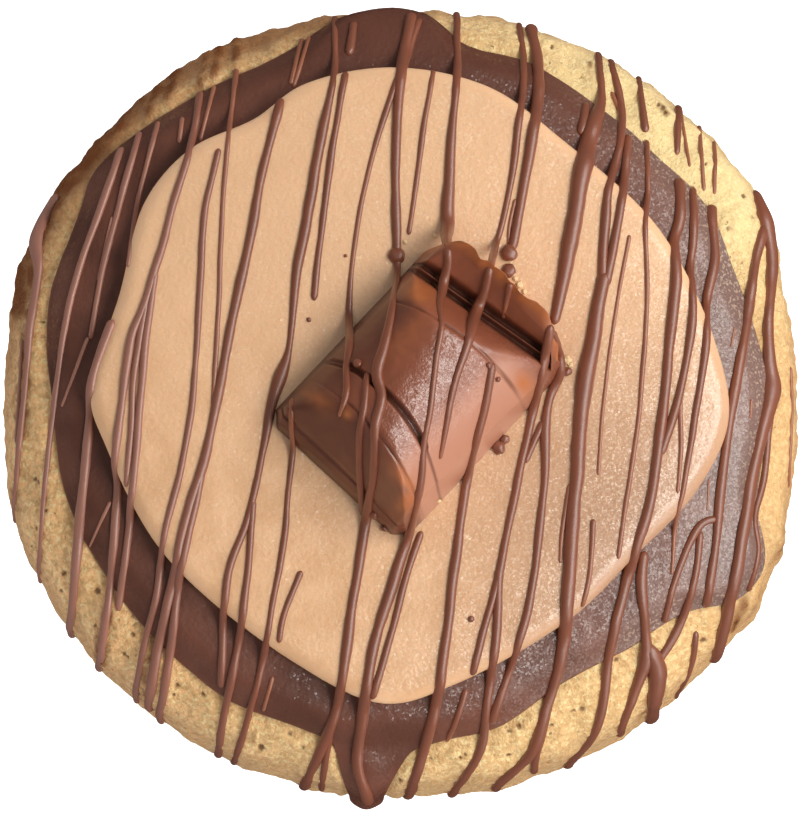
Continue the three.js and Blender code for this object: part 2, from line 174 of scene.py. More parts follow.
# Painted warm reflections on its coat: u, v, how far each reaches along and across, and how strong it is
WARM_REFLECTIONS = (
    (7.9, 7.4, 1.5, 2.0, 0.9), (8.7, -9.3, 1.0, 1.3, 1.0), (-10.4, -6.9, 0.9, 2.2, 0.8),
    (-12.0, -8.9, 1.6, 1.0, 0.8), (-10.2, 7.6, 0.9, 2.2, 0.7), (-9.3, 3.4, 0.6, 0.7, 0.8),
    (2.4, 4.6, 4.0, 1.4, 0.35),
)

# Drizzle: width at the start and at the end, then the course on the picture plane, in millimetres from the
# middle of the picture. A third number at a point is the width there.
STRANDS = (
    (1.5, 0.8, (-42.8, 26.5), (-45.3, 21, 2.3), (-45.1, 17.5, 1.5), (-46.2, 10), (-46.8, 2.5),
     (-47.6, -5), (-48.2, -12.5)),
    (0.5, 0.5, (-47.2, 8.5), (-47.6, 2), (-48, -4.5)),
    (1.1, 0.7, (-34.8, 32.3), (-37.2, 25.3), (-39.6, 18.8), (-41.4, 12.5), (-42.6, 5), (-43.3, 0),
     (-44.4, -10), (-45.1, -20.5)),
    (1.0, 0.7, (-32.5, 34.3), (-35, 25.5), (-37.5, 15.5), (-38.7, 8.5)),
    (0.5, 0.4, (-39, 8.7), (-42.3, 0)),
    (0.4, 0.4, (-36, 23.8), (-37.8, 15.8)),
    (0.8, 0.6, (-30.2, 35.6), (-32.7, 26), (-34, 17.5)),
    (0.6, 0.6, (-27.2, 36.2), (-27.6, 33)),
    (0.6, 0.5, (-23.2, 40.1), (-25, 33.3)),
    (1.0, 1.2, (-24.9, 39.3), (-26.2, 32.3), (-28, 26.5), (-30, 19), (-32.3, 12), (-33.5, 9),
     (-34.8, 0), (-35.6, -6.5), (-35.3, -10), (-36, -20), (-36.6, -25.5), (-37.6, -32.5)),
    (1.0, 0.8, (-31.5, 14.5), (-33.2, 4), (-33.7, -4), (-34.3, -10)),
    (1.1, 1.0, (-30.6, 17), (-31.6, 10), (-32.4, 1), (-33.5, -11.5), (-34.2, -18), (-35.2, -25.5)),
    (0.7, 0.6, (-20.4, 42.2), (-21.3, 35), (-22.1, 26), (-22.7, 12), (-23.4, 0.1)),
    (0.8, 1.0, (-22.6, 32.3), (-24.3, 25), (-25, 15), (-26, 0), (-27.2, -7), (-29.5, -16.5),
     (-30.5, -24), (-32, -30), (-33, -36)),
    (1.2, 1.3, (-14.8, 38.5), (-17, 30), (-19, 20), (-21, 10.5), (-23, 0), (-24.8, -8), (-26.5, -13),
     (-28.2, -20.8), (-30, -29), (-31.4, -36.8)),
    (1.1, 1.2, (-24.4, -6), (-25.6, -12.5), (-27.4, -20.5), (-28.6, -30), (-30, -38.5)),
    (1.5, 1.3, (-35.9, 10.9), (-38.4, 3.4), (-38.8, -0.8, 1.0), (-39, -4.1, 1.3), (-39.6, -10),
     (-40.3, -18), (-41.2, -27.5)),
    (0.5, 0.4, (-36.2, -11.8), (-38.8, -17.5)),
    (0.75, 1.0, (-8.2, 48.7), (-8.2, 42, 0.9), (-10, 33, 1.3), (-11.5, 24, 1.4), (-13, 16, 1.3),
     (-13.9, 7), (-15, 3.5, 1.7), (-16, 0.5, 1.2), (-17.8, -9), (-19.2, -14.5), (-21.3, -20),
     (-21.9, -24), (-22.3, -35)),
    (1.0, 1.1, (-18.4, -11.5), (-18.9, -19), (-19.7, -26.5), (-20.6, -32), (-21.9, -38), (-22.7, -43.5)),
    (1.0, 0.9, (-6.8, 41.8), (-8.3, 33), (-9.8, 22), (-10.8, 13.3)),
    (0.8, 0.4, (0.4, 43), (-2.7, 34), (-4.5, 27), (-5.8, 19), (-6.4, 10.5, 1.0), (-6.1, 8.5, 1.4),
     (-6.7, 5.2, 0.9), (-6.7, 1.5, 1.0), (-7.6, -1.2)),
    (1.4, 1.4, (1.5, 49.5), (0.3, 43, 1.5), (-0.5, 32, 1.2), (-0.4, 20, 1.2), (-0.3, 16.8, 0.9),
     (-0.9, 12.7, 1.1), (-1.9, 7.7, 1.4), (-2.9, 4.3, 1.5), (-2.2, 1.3, 1.2), (-3.1, -2.3, 1.3),
     (-3.2, -7.3, 1.1), (-4.2, -14, 1.3), (-5, -19), (-6.4, -28), (-7.5, -36), (-9, -41), (-12, -47.5)),
    (1.0, 0.9, (2.6, 49), (1.4, 45.5), (0.4, 42)),
    (0.9, 0.9, (-8.6, -40), (-9.3, -44), (-9.8, -47.5)),
    (0.9, 1.1, (-4.1, 4.3), (-4.4, 0.3), (-5, -3.5), (-4.9, -9.8), (-4.5, -13.5)),
    (0.8, 0.7, (4.2, 42), (3, 35), (2.2, 29), (1.1, 21.5)),
    (0.9, 1.5, (7.1, 49.2), (7.1, 41.5, 1.0), (6.4, 33, 1.2), (6, 24.5, 1.8), (5.9, 20.5, 1.5),
     (6.1, 18.2, 1.2), (5.5, 15.7, 1.3), (5, 12.7, 1.0), (5.2, 10.2, 0.9), (4.6, 6.5, 0.8),
     (4.3, 3.7, 0.8), (3.7, -1, 0.9), (3, -4.7, 1.0), (2.7, -8.5, 1.1), (1.6, -14.2, 1.2),
     (0.7, -17.2, 1.4), (-1.2, -23), (-3.3, -30), (-4.4, -36.5), (-5.2, -42), (-5.3, -45), (-3.8, -49.8)),
    (0.9, 1.0, (2.7, -15.5), (0.7, -21.5), (-1.1, -28.5), (-3.5, -36.5)),
    (0.9, 0.6, (14.9, 47.7), (15.5, 42, 1.0), (14.8, 35, 1.1), (13.9, 28), (12.7, 22.5),
     (11.4, 18, 1.0), (10.6, 14.5, 1.3), (9.4, 11.7, 1.6), (8.4, 7.7, 1.2), (7.1, 4, 1.0),
     (6.2, 0.3, 0.9), (5, -6.5)),
    (1.7, 1.2, (16.3, 47.3), (17.3, 42.5), (16.4, 33), (15.3, 26.5), (14, 19.5)),
    (1.1, 0.5, (13.8, 15.5), (13.4, 13.5), (12.9, 11.2)),
    (0.5, 0.4, (14.4, 26), (13.6, 22), (13.6, 19.5)),
    (1.2, 1.5, (11.6, 5.5), (10.9, 1.5), (9.7, -3.5), (8.5, -8.7), (7.9, -12.3), (7, -19), (5.9, -28),
     (4.8, -35.5), (3, -43), (1, -48.5)),
    (1.0, 1.3, (24.8, 43.9), (25.1, 38.5, 1.2), (23.8, 34.5, 2.2), (22.4, 27, 2.1), (20.8, 18, 2.0),
     (19.2, 10.3)),
    (1.1, 1.2, (23.3, 38), (22.6, 34)),
    (1.2, 1.0, (18.9, 10.3), (17.9, 5.2), (16.6, -0.5, 1.3), (15.4, -6), (13.9, -13.5), (12, -22.5),
     (10.2, -29), (9, -33.5)),
    (1.2, 1.3, (12.4, -20), (12.1, -28), (11, -36), (10, -43), (6.5, -48.3)),
    (0.9, 1.2, (19.1, 9.5), (19.9, 7.2), (20, 4.2, 1.3), (18.8, 1.2, 1.1), (18.1, -2.2, 1.3),
     (18.2, -7.2), (17.5, -15), (16.3, -24), (14.7, -30), (13, -35), (11.3, -39.5)),
    (1.1, 0.8, (18, -1.7), (16.9, -4), (15.6, -7)),
    (1.0, 1.4, (26.3, 43), (27.6, 38, 1.0), (27.5, 33, 1.1), (26.2, 28), (25.6, 22), (25.3, 15)),
    (1.1, 1.3, (28.5, 34), (28, 28), (26.7, 20), (25.6, 15)),
    (1.9, 1.5, (25.6, 17), (24.2, 9), (23, 2, 2.1), (22.1, -8), (21.2, -20), (20.6, -27), (20, -32),
     (18.5, -37), (16.5, -43), (12, -47.3)),
    (1.0, 1.0, (18.8, -36.5), (18.2, -39), (16.8, -44.3)),
    (0.5, 0.6, (26.4, 39.4), (27, 38), (27.5, 36.5)),
    (0.8, 1.1, (29.8, 41.3), (30.7, 34.3)),
    (0.8, 0.6, (30.8, 33.3), (31, 27), (30.7, 24), (30.9, 14), (30.4, 5), (29.7, -2.5), (28.1, -13),
     (27.3, -19)),
    (0.5, 0.5, (28.7, 21.5), (27, 12), (25.4, 0), (24.8, -8.5)),
    (1.1, 0.9, (34.8, 37), (34.6, 31.5)),
    (0.5, 0.4, (35.2, 36), (36.2, 30)),
    (0.6, 0.6, (37.5, 33.5), (38, 27)),
    (0.6, 0.6, (39.3, 32), (39.3, 26.6)),
    (1.5, 1.3, (34.8, 28.5), (35, 23.5), (34.2, 20.5), (34.5, 16), (33.8, 9), (33, 1), (32, -7),
     (31, -13), (29.2, -18.5), (27.5, -25), (26.2, -30.5), (25.5, -36), (24.2, -41), (21, -44.5)),
    (1.1, 1.2, (36.5, 27.5), (36.7, 21), (36.3, 17.5), (36.6, 12), (35.8, 5.5), (34.3, -0.5), (32.5, -6)),
    (0.7, 0.5, (35, 1.5), (35.1, -5), (34.7, -10.8)),
    (1.5, 0.5, (38.8, 25), (39.3, 19), (38.3, 13, 1.1), (38.3, 8), (37.4, 2), (36.3, -5), (35.3, -11),
     (34.5, -14), (34, -21)),
    (1.5, 1.8, (44.3, 27), (45.6, 22.5, 2.6), (46.3, 18, 1.9), (46, 10, 1.6), (46.2, 4.5, 2.0),
     (46.3, 1.6, 2.9), (45.2, -3, 1.9), (43.7, -10, 2.0), (42.7, -17), (41.2, -24), (39.8, -30),
     (38.5, -33)),
    (1.4, 1.3, (45.4, 22), (44.5, 19), (43.3, 11), (42.3, 4.5), (41.1, -2.5), (40.2, -9.5), (39.7, -15),
     (38.2, -25)),
    (1.0, 0.9, (46.5, 0.5), (46.1, -3), (45.5, -9), (44.3, -14), (44.8, -18), (43.5, -23)),
    (1.0, 0.9, (39.8, -14), (38, -14.3), (36.5, -16.5), (34.4, -21.7), (32.9, -27)),
    (0.9, 1.2, (37.6, -15.5), (37, -20.8), (35.8, -25), (34, -29), (32, -32)),
    (1.5, 1.3, (30.5, -18), (30.2, -22), (30.7, -28.5), (30.8, -31, 1.9), (29.3, -35.5), (27.5, -40.5)),
    (1.9, 2.1, (30.8, -29.5), (31.9, -32.5, 2.6), (31.9, -36), (31.2, -39.6)),
    (0.5, 0.5, (48.8, 5), (49, 0), (48.5, -10)),
    (0.9, 0.8, (37, -28), (36.2, -33), (34.5, -36)),
    (0.6, 0.5, (21.2, -9.7), (20.2, -16), (20, -19.5)),
    (0.7, 0.6, (24.2, -14), (23.6, -21.5), (22.7, -25)),
    (0.7, 1.0, (-13.5, 1), (-13.6, -2.3), (-13.4, -5.3), (-14, -11), (-14.5, -17), (-15.7, -23.5),
     (-16.8, -30), (-18.4, -36.8), (-20.7, -44.5)),
    (0.9, 0.7, (-12.3, -20.5), (-14.5, -26), (-15.1, -29.5)),
    (0.6, 0.5, (-15.9, -33.7), (-17.1, -38)),
    (0.9, 0.7, (8.3, -35.3), (6.7, -40), (5.8, -41.8)),
    (0.8, 1.2, (-5.6, 49.3), (-6.4, 44)),
    (0.6, 0.6, (-12.3, 46), (-13.7, 40.3)),
    (0.6, 0.6, (-11.3, 46.3), (-13.3, 40)),
    (0.3, 0.3, (41.8, 10), (41.4, 7.5)),
    (0.4, 0.4, (43.9, 1), (43.8, -1.5)),
    (0.3, 0.3, (38.6, -9), (38.4, -13)),
)
# Thin smears of drizzle on the crust: reach to either side, strength, and the course on the picture plane
SMEARS = (
    (0.7, 0.8, (-20.3, 46.2), (-20.6, 42.3)),
    (0.8, 0.8, (-22.2, 45.2), (-23.2, 41)),
    (0.7, 0.7, (-24, 43.8), (-24.8, 40)),
    (1.0, 0.8, (-28, 41.8), (-29, 38.2)),
    (1.0, 0.8, (-30.3, 39.9), (-31.2, 36.8)),
    (1.0, 0.8, (-33.5, 37.3), (-35, 34.3)),
    (1.4, 0.9, (-37.8, 33), (-40.5, 28.7), (-43, 24.5)),
    (1.6, 0.8, (-30.5, 40.3), (-34.5, 36.8), (-38, 33)),
    # This broadest smear, along the upper-left edge, is partly drizzle smear and partly painted shade on the
    # side away from the lights
    (2.4, 1.0, (-37, 34.2), (-41, 29.5), (-44.3, 24.5), (-46.6, 19), (-48, 13)),
    (0.4, 0.8, (-18.1, -40.6), (-18.4, -42.2)),
    (0.4, 0.7, (23.8, 43), (23.6, 41.8)),
    (0.5, 0.6, (32.2, 37.6), (33.2, 36.5)),
    (0.9, 0.8, (45.6, -23.3), (44.3, -25), (43.4, -27)),
    (0.8, 0.6, (47.8, -15.5), (46.6, -19.5)),
    (0.7, 0.7, (-47.9, -10.5), (-48.2, -13)),
    (1.2, 0.8, (-46.2, 12), (-46.9, 3), (-47.5, -4)),
    (1.2, 0.8, (-36, -24.5), (-36.8, -29), (-37.4, -31.8)),
    (1.5, 0.7, (-30.6, -29), (-31.4, -33), (-32.2, -36.5)),
    (0.8, 0.8, (32.6, -35.2), (30.3, -38.3), (29.3, -40)),
    (0.9, 0.8, (43, -22.5), (41.5, -27.5)),
)
# Dark pits in the crust: place on the picture plane and radius
PITS = (
    (-37.8, -23, 0.5), (-42, -20.8, 0.35), (-38, -27.3, 0.3), (-33.3, -28.4, 0.38), (-33.1, -27.2, 0.28),
    (-34.6, -30.8, 0.3), (-34.2, -31.3, 0.28), (-33.4, -26.2, 0.25), (-27.9, -34.8, 0.36),
    (-24.6, -35.9, 0.33), (-28.3, -36, 0.26), (-42.3, -23, 0.26), (-17.4, -42.7, 0.48),
    (-13.7, -40.7, 0.32), (-12.1, -42.5, 0.3), (-15.7, -39.6, 0.22), (0.1, -46.3, 0.3), (3.8, -44, 0.26),
    (7.6, -43.6, 0.26), (8.2, -43.2, 0.26), (13.3, -39.3, 0.3), (13.6, -40.4, 0.26), (14.8, -39.8, 0.36),
    (13.6, -43.6, 0.34), (22.8, -37.8, 0.42), (21.7, -38, 0.26), (18.9, -39.7, 0.28), (27.1, -31.6, 0.42),
    (38, -29.2, 0.42), (41.9, -26.8, 0.45), (19, 45, 0.3), (32.8, 37.3, 0.4), (32.2, 37.6, 0.26),
    (33, 36.6, 0.26), (38.1, 30.3, 0.22), (22.8, 41.3, 0.22), (43, 26.4, 0.34), (40.9, 22.2, 0.3),
    (-44.6, 10.6, 0.26), (-45.7, 8.8, 0.26), (-45.8, -9, 0.36), (-45.4, -9.4, 0.3), (-44.1, -13, 0.26),
    (-45.4, -15.2, 0.26),
)
STRAND_SIDES = 12
STRAND_STEP = 0.55
STRAND_SETTLING = 10
OUTWARD_SMOOTHING = 8
COURSE_SMOOTHING = 2
HEADING_REACH = 0.4
# Share of a strand's height by which the middle of its section is lifted off what it lies on
STRAND_LIFT = 0.1
# Shares of a strand's tip at which its rings lie, and the tip's length as a share of the width
TIP_SHARES = (0.0, 0.06, 0.2, 0.45, 0.75)
TIP_LENGTH = 0.9
# Strands that reach this share of the rim's radius and head outwards by so much run on over the side, for
# between these lengths, at most down to a slant
RIM_SHARE = 0.965
OUTWARD_HEADING = 0.25
RUNS_AT_START = (2, 6)
RUNS_AT_END = (4, 10)
LOWEST_SLANT = math.radians(150)
# A run keeps straight on, unless it lies this near the side of the round that it would only graze
GRAZING_SHARE = 0.96
# Widths at which a strand is at its warmest and no longer warmer than the rest
THIN_WIDTHS = (0.45, 0.85)
COURSE_STEPS = 12
HALVINGS = 24
DRIZZLE_SEED = 11
# Round drops of drizzle: place on the picture plane and radius
DROPS = (
    (-0.4, 18.9, 1.0), (13.6, 19.2, 1.05), (13.6, 17, 0.9), (-11.4, 10.9, 0.3), (-6.8, 18.9, 0.22),
    (8.9, -26.5, 0.4),
)
DROP_FLATNESS = 0.65
DROP_ROUGHNESS = 0.2
# Loose bits by the bar piece: place on the picture plane and radius, pale wafer and chocolate
PALE_CRUMBS = (
    (14.9, 15.2, 0.45), (14.4, 16, 0.3), (15.5, 14.4, 0.3), (20.9, 5.9, 0.5), (21.3, 5.2, 0.3),
    (4.4, 21.4, 0.3), (18.3, -0.9, 0.35), (4.8, -11.7, 0.3), (0.6, 20.6, 0.25),
)
CHIPS = (
    (12.4, -5.1, 0.85), (13.1, -4.1, 0.6), (20.9, 4.4, 0.6), (-3.2, -13.4, 0.55), (-1.9, -15.1, 0.45),
    (0.9, -16.1, 0.5), (-5.2, 5.4, 0.6), (11.1, 5.2, 0.4), (12.2, 3.5, 0.35),
)
LUMP_SUBDIVISIONS = 3
CRUMB_FLATNESS = 0.7
PALE_CRUMB_ROUGHNESS = 0.5
CHIP_ROUGHNESS = 0.25

# Camera over the picture plane, which lies through the baked round's widest level
PICTURE_WIDTH = 100
PICTURE_LEVEL = 10
CAMERA_ELEVATION = math.radians(82)
CAMERA_DISTANCE = 1500
SENSOR_WIDTH = 36
# Stage: the camera's reach, the floor's half size and glow, and the background's strength
CAMERA_REACH = 20
FLOOR_HALF_SIZE = 4
FLOOR_GLOW = 1.4
BACKGROUND_STRENGTH = 0.405
# Lights: name, azimuth and elevation in degrees, size in metres and power
LIGHT_DISTANCE = 0.9
LIGHT_COLOUR = (1.0, 0.97, 0.92)
LIGHTS = (("key", -26, 56, 0.36, 3.0), ("side", 18, 45, 0.5, 3.75), ("low", -40, 20, 0.5, 1.6))


def srgb(red, green, blue):
    """Linear colour of a display colour given from 0 to 255."""
    shares = [value / 255 for value in (red, green, blue)]
    return tuple(s / 12.92 if s <= 0.04045 else ((s + 0.055) / 1.055) ** 2.4 for s in shares)


def length_property(name, description, default):
    return bpy.props.FloatProperty(
        name=name, description=description, default=default, unit="LENGTH", precision=4, min=0.0,
    )


def share_property(name, description, default):
    return bpy.props.FloatProperty(
        name=name, description=description, default=default, subtype="FACTOR", min=0.0, max=2.0,
    )


def colour_property(name, description, default):
    return bpy.props.FloatVectorProperty(
        name=name, description=description, default=default, subtype="COLOR", size=3, min=0.0, max=1.0,
    )


class CookieSizes(bpy.types.PropertyGroup):
    """Sizes of the pieces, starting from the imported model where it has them"""

    round_top: length_property("Top", "Height of the baked round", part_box("cookie")[1].z)
    round_waist: length_property("Waist", "Level at which the baked round is widest", 10 * MM)
    crumb: length_property("Crumb", "Height of the crumbs in the crust", 0.22 * MM)
    chocolate: length_property("Chocolate", "Thickness of the chocolate pool", 1.8 * MM)
    cream: length_property("Cream", "Thickness of the hazelnut cream", 2.6 * MM)
    bar_height: length_property("Bar height", "Height of the bar piece", 13 * MM)
    bar_half_width: length_property("Bar half width", "Half the width of the bar piece", 11.3 * MM)
    bar_turn: bpy.props.FloatProperty(
        name="Bar turn", description="Turn of the bar piece from +X",
        default=math.radians(47), unit="ROTATION",
    )
    strand_fullness: share_property("Drizzle fullness", "Width of the strands, as a share of the usual", 0.97)
    strand_height: share_property("Drizzle height", "Height of a strand as a share of its width", 0.46)
    strand_wobble: share_property("Drizzle unevenness", "How much a strand's width varies", 0.22)


class CookieColours(bpy.types.PropertyGroup):
    """Colours of the finishes"""

    dough: colour_property("Dough", "Pale baked dough", srgb(236, 196, 138))
    # Pale flecks of the dough, also laid on as painted light towards the upper right
    dough_pale_and_light: colour_property("Pale flecks", "Palest crumbs of the dough", srgb(250, 228, 168))
    # Darker crumbs of the dough, also laid on as painted shade towards the lower right
    dough_dark_and_shade: colour_property("Dark dough", "Darker crumbs of the dough", srgb(206, 162, 106))
    # Painted warm shade: warmer dough towards the left, the side away from the lights
    dough_shade_tint: colour_property("Painted warm shade", "Warmer dough on one side", srgb(255, 200, 140))
    # Browned crust by the foot and on edges, also painted shade on the edge away from the lights
    crust_browning_shade: colour_property("Browning and shade", "Browned crust by the foot and on edges", srgb(152, 98, 52))
    speck: colour_property("Speck", "Dark pits in the crust", srgb(104, 64, 30))
    chocolate: colour_property("Chocolate", "Pool of chocolate", srgb(122, 68, 47))
    # Darker patches of the pool, also laid on as painted shade on its far side
    chocolate_dark_and_shade: colour_property("Dark chocolate", "Darker patches of the pool", srgb(102, 54, 36))
    # Painted sheen: paler, greyer chocolate on the lit right side of the pool, standing in for reflected
    # light
    chocolate_painted_sheen: colour_property("Painted sheen", "Pale bloom on one side of the pool", srgb(136, 110, 102))
    cream: colour_property("Cream", "Hazelnut cream", srgb(230, 180, 134))
    cream_pale: colour_property("Pale cream", "Paler patches of the cream", srgb(242, 194, 150))
    # Painted glints: fine bright specks standing in for glints of light on the cream and the chocolate's
    # shoulder
    painted_glint: colour_property("Painted glints", "Fine bright grains of the cream", srgb(255, 224, 190))
    # Darker, greyer cream towards the lower right of the pool
    cream_lower_right: colour_property("Lower right cream", "Cream where the chocolate shows through", srgb(194, 150, 118))
    bar: colour_property("Bar", "Coat of the bar piece", srgb(146, 80, 54))
    # Painted shade: darker in the channels, groove and creases, and on the sides away from the lights
    bar_painted_shade: colour_property("Painted shade", "Thick coat in channels and on one side", srgb(74, 38, 26))
    # Painted light: paler coat on the lit side of the bar
    bar_painted_light: colour_property("Painted light", "Dull coat on one side of the bar", srgb(188, 128, 102))
    # Painted reflection: warm light reflected on the bar's coat and along its broken edge
    bar_warm_reflection: colour_property("Painted warm reflection", "Warm thin spots of the bar's coat", srgb(186, 104, 46))
    drizzle: colour_property("Drizzle", "Drizzled chocolate", srgb(136, 72, 45))
    drizzle_thin: colour_property("Thin drizzle", "Drizzle where it is thin", srgb(160, 94, 62))
    # Painted sheen: paler drizzle towards the left, standing in for reflected light
    drizzle_painted_sheen: colour_property("Painted drizzle sheen", "Drizzle on its palest side", srgb(184, 130, 112))
    smear: colour_property("Smear", "Thin smears of drizzle", srgb(118, 66, 34))
    wafer: colour_property("Wafer", "Pale wafer crumbs", srgb(244, 220, 180))
    floor: colour_property("Floor", "Floor of the stage", (0.2, 0.2, 0.2))


# Lines and curves


def clamp(value, low=0.0, high=1.0):
    return max(low, min(high, value))


def smooth_step(low, high, value):
    share = clamp((value - low) / (high - low))
    return share * share * (3 - 2 * share)


def bell(value, reach):
    """1 at zero, falling off over a reach to either side."""
    return math.exp(-((value / reach) ** 2))


def soft_least(values, roundness):
    """Least of some positive values, with the corners between them rounded."""
    return sum(value ** -roundness for value in values) ** (-1 / roundness)


def smooth_line(points, steps, closed=False):
    """Places along a smooth line through some points, with that many steps in each span."""
    spots = [Vector(point) for point in points]
    if closed:
        spots = [spots[-1], *spots, spots[0], spots[1]]
    else:
        spots = [2 * spots[0] - spots[1], *spots, 2 * spots[-1] - spots[-2]]
    line = []
    for a, b, c, d in zip(spots, spots[1:], spots[2:], spots[3:]):
        at_b = math.sqrt((b - a).length)
        at_c = at_b + math.sqrt((c - b).length)
        at_d = at_c + math.sqrt((d - c).length)
        for step in range(steps):
            share = step / steps
            at = at_b + (at_c - at_b) * share
            middle = b.lerp(c, share)
            early = a.lerp(b, at / at_b).lerp(middle, at / at_c)
            late = middle.lerp(c.lerp(d, (at - at_c) / (at_d - at_c)), (at - at_b) / (at_d - at_b))
            line.append(early.lerp(late, share))
    return line if closed else [*line, spots[-2]]


def smoothed(values, rounds):
    """Values along a line, each drawn towards its neighbours some rounds over; the ends stay."""
    for _ in range(rounds):
        inner = [(a + 2 * b + c) / 4 for a, b, c in zip(values, values[1:], values[2:])]
        values = [values[0], *inner, values[-1]]
    return values


def lengths_along(line):
    """Distance of each place on a line from its start."""
    total = 0.0
    lengths = [total]
    for before, after in zip(line, line[1:]):
        total += (after - before).length
        lengths.append(total)
    return lengths


def value_along(values, lengths, distance):
    """Value at a distance along a line, given the values and lengths of its places."""
    index = clamp(bisect.bisect(lengths, distance), 1, len(lengths) - 1)
    span = lengths[index] - lengths[index - 1]
    share = (distance - lengths[index - 1]) / span if span else 0
    return values[index - 1] + (values[index] - values[index - 1]) * share


def last_before(low, high, holds):
    """Value between low and high up to which a test holds."""
    for _ in range(HALVINGS):
        middle = (low + high) / 2
        if holds(middle):
            low = middle
        else:
            high = middle
    return low


def distance_to(spot, start, end):
    """Distance of a spot from the straight stretch between two others."""
    span = end - start
    share = clamp((spot - start).dot(span) / span.length_squared)
    return (spot - start - span * share).length


class PolarLine:
    """A closed line round the axis, as a distance from it for each angle."""

    def __init__(self, points):
        line = smooth_line(points, COURSE_STEPS, closed=True)
        self.stops = sorted((math.atan2(place.y, place.x), place.length) for place in line)

    def radius(self, angle):
        angle = math.remainder(angle, FULL_TURN)
        index = bisect.bisect(self.stops, (angle,))
        before = self.stops[index - 1]
        after = self.stops[index % len(self.stops)]
        span = (after[0] - before[0]) % FULL_TURN
        share = ((angle - before[0]) % FULL_TURN) / span
        return before[1] + (after[1] - before[1]) * share


# Forms that the pieces follow, in millimetres


class RoundForm:
    """Surface of the baked round, by angle and slant: 0 at the top, a quarter turn at the waist."""

    small_slant = 0.002

    def __init__(self, sizes):
        self.top = sizes.round_top / MM
        self.waist = sizes.round_waist / MM
        step = FULL_TURN / len(RIM_RADII)
        self.rim = PolarLine([
            (radius * math.cos(index * step), radius * math.sin(index * step))
            for index, radius in enumerate(RIM_RADII)
        ])

    def profile(self, slant):
        """Share of the rim's radius, and height."""
        power = 2 / ROUND_SQUARENESS
        out = abs(math.sin(slant)) ** power
        up = abs(math.cos(slant)) ** power
        if slant <= QUARTER_TURN:
            return out, self.waist + (self.top - self.waist) * up
        return ROUND_FOOT_SHARE + (1 - ROUND_FOOT_SHARE) * out, self.waist * (1 - up)

    def point(self, angle, slant, lift=0.0):
        """Place on the surface, lifted off it along its outward direction."""
        rim = self.rim.radius(angle)
        reach, height = self.profile(slant)
        if slant < self.small_slant:
            return Vector((0, 0, height + lift))
        inner = self.profile(slant - self.small_slant)
        outer = self.profile(slant + self.small_slant)
        outward = Vector((inner[1] - outer[1], (outer[0] - inner[0]) * rim)).normalized()
        radius = reach * rim + lift * outward.x
        return Vector((radius * math.cos(angle), radius * math.sin(angle), height + lift * outward.y))

    def slant_at(self, angle, radius, lift=0.0):
        """Slant at which a lifted surface lies at a distance from the axis."""
        return last_before(0.0, QUARTER_TURN, lambda slant: self.point(angle, slant, lift).xy.length < radius)

    def slant_at_height(self, height):
        """Slant at which the surface lies at a height."""
        return last_before(0.0, math.pi, lambda slant: self.profile(slant)[1] > height)

    def even_slants(self, start, end, step):
        """Slants from start to end that are about a step apart on the surface."""
        slants = [start]
        while slants[-1] < end:
            slant = slants[-1]
            here = self.point(0, slant)
            ahead = self.point(0, slant + self.small_slant)
            slants.append(slant + step * self.small_slant / max((ahead - here).length, 1e-6))
        return [*slants[:-1], end]


class LayerLevels:
    """How far each pool is lifted off the baked round, and where the cream's flat top lies."""

    def __init__(self, sizes, form):
        self.chocolate_top = POOL_GAP + sizes.chocolate / MM
        self.cream_top = self.chocolate_top + POOL_GAP + sizes.cream / MM
        slant = form.slant_at(0, CREAM_PLATEAU_RADIUS, self.cream_top)
        self.plateau = form.point(0, slant, self.cream_top).z


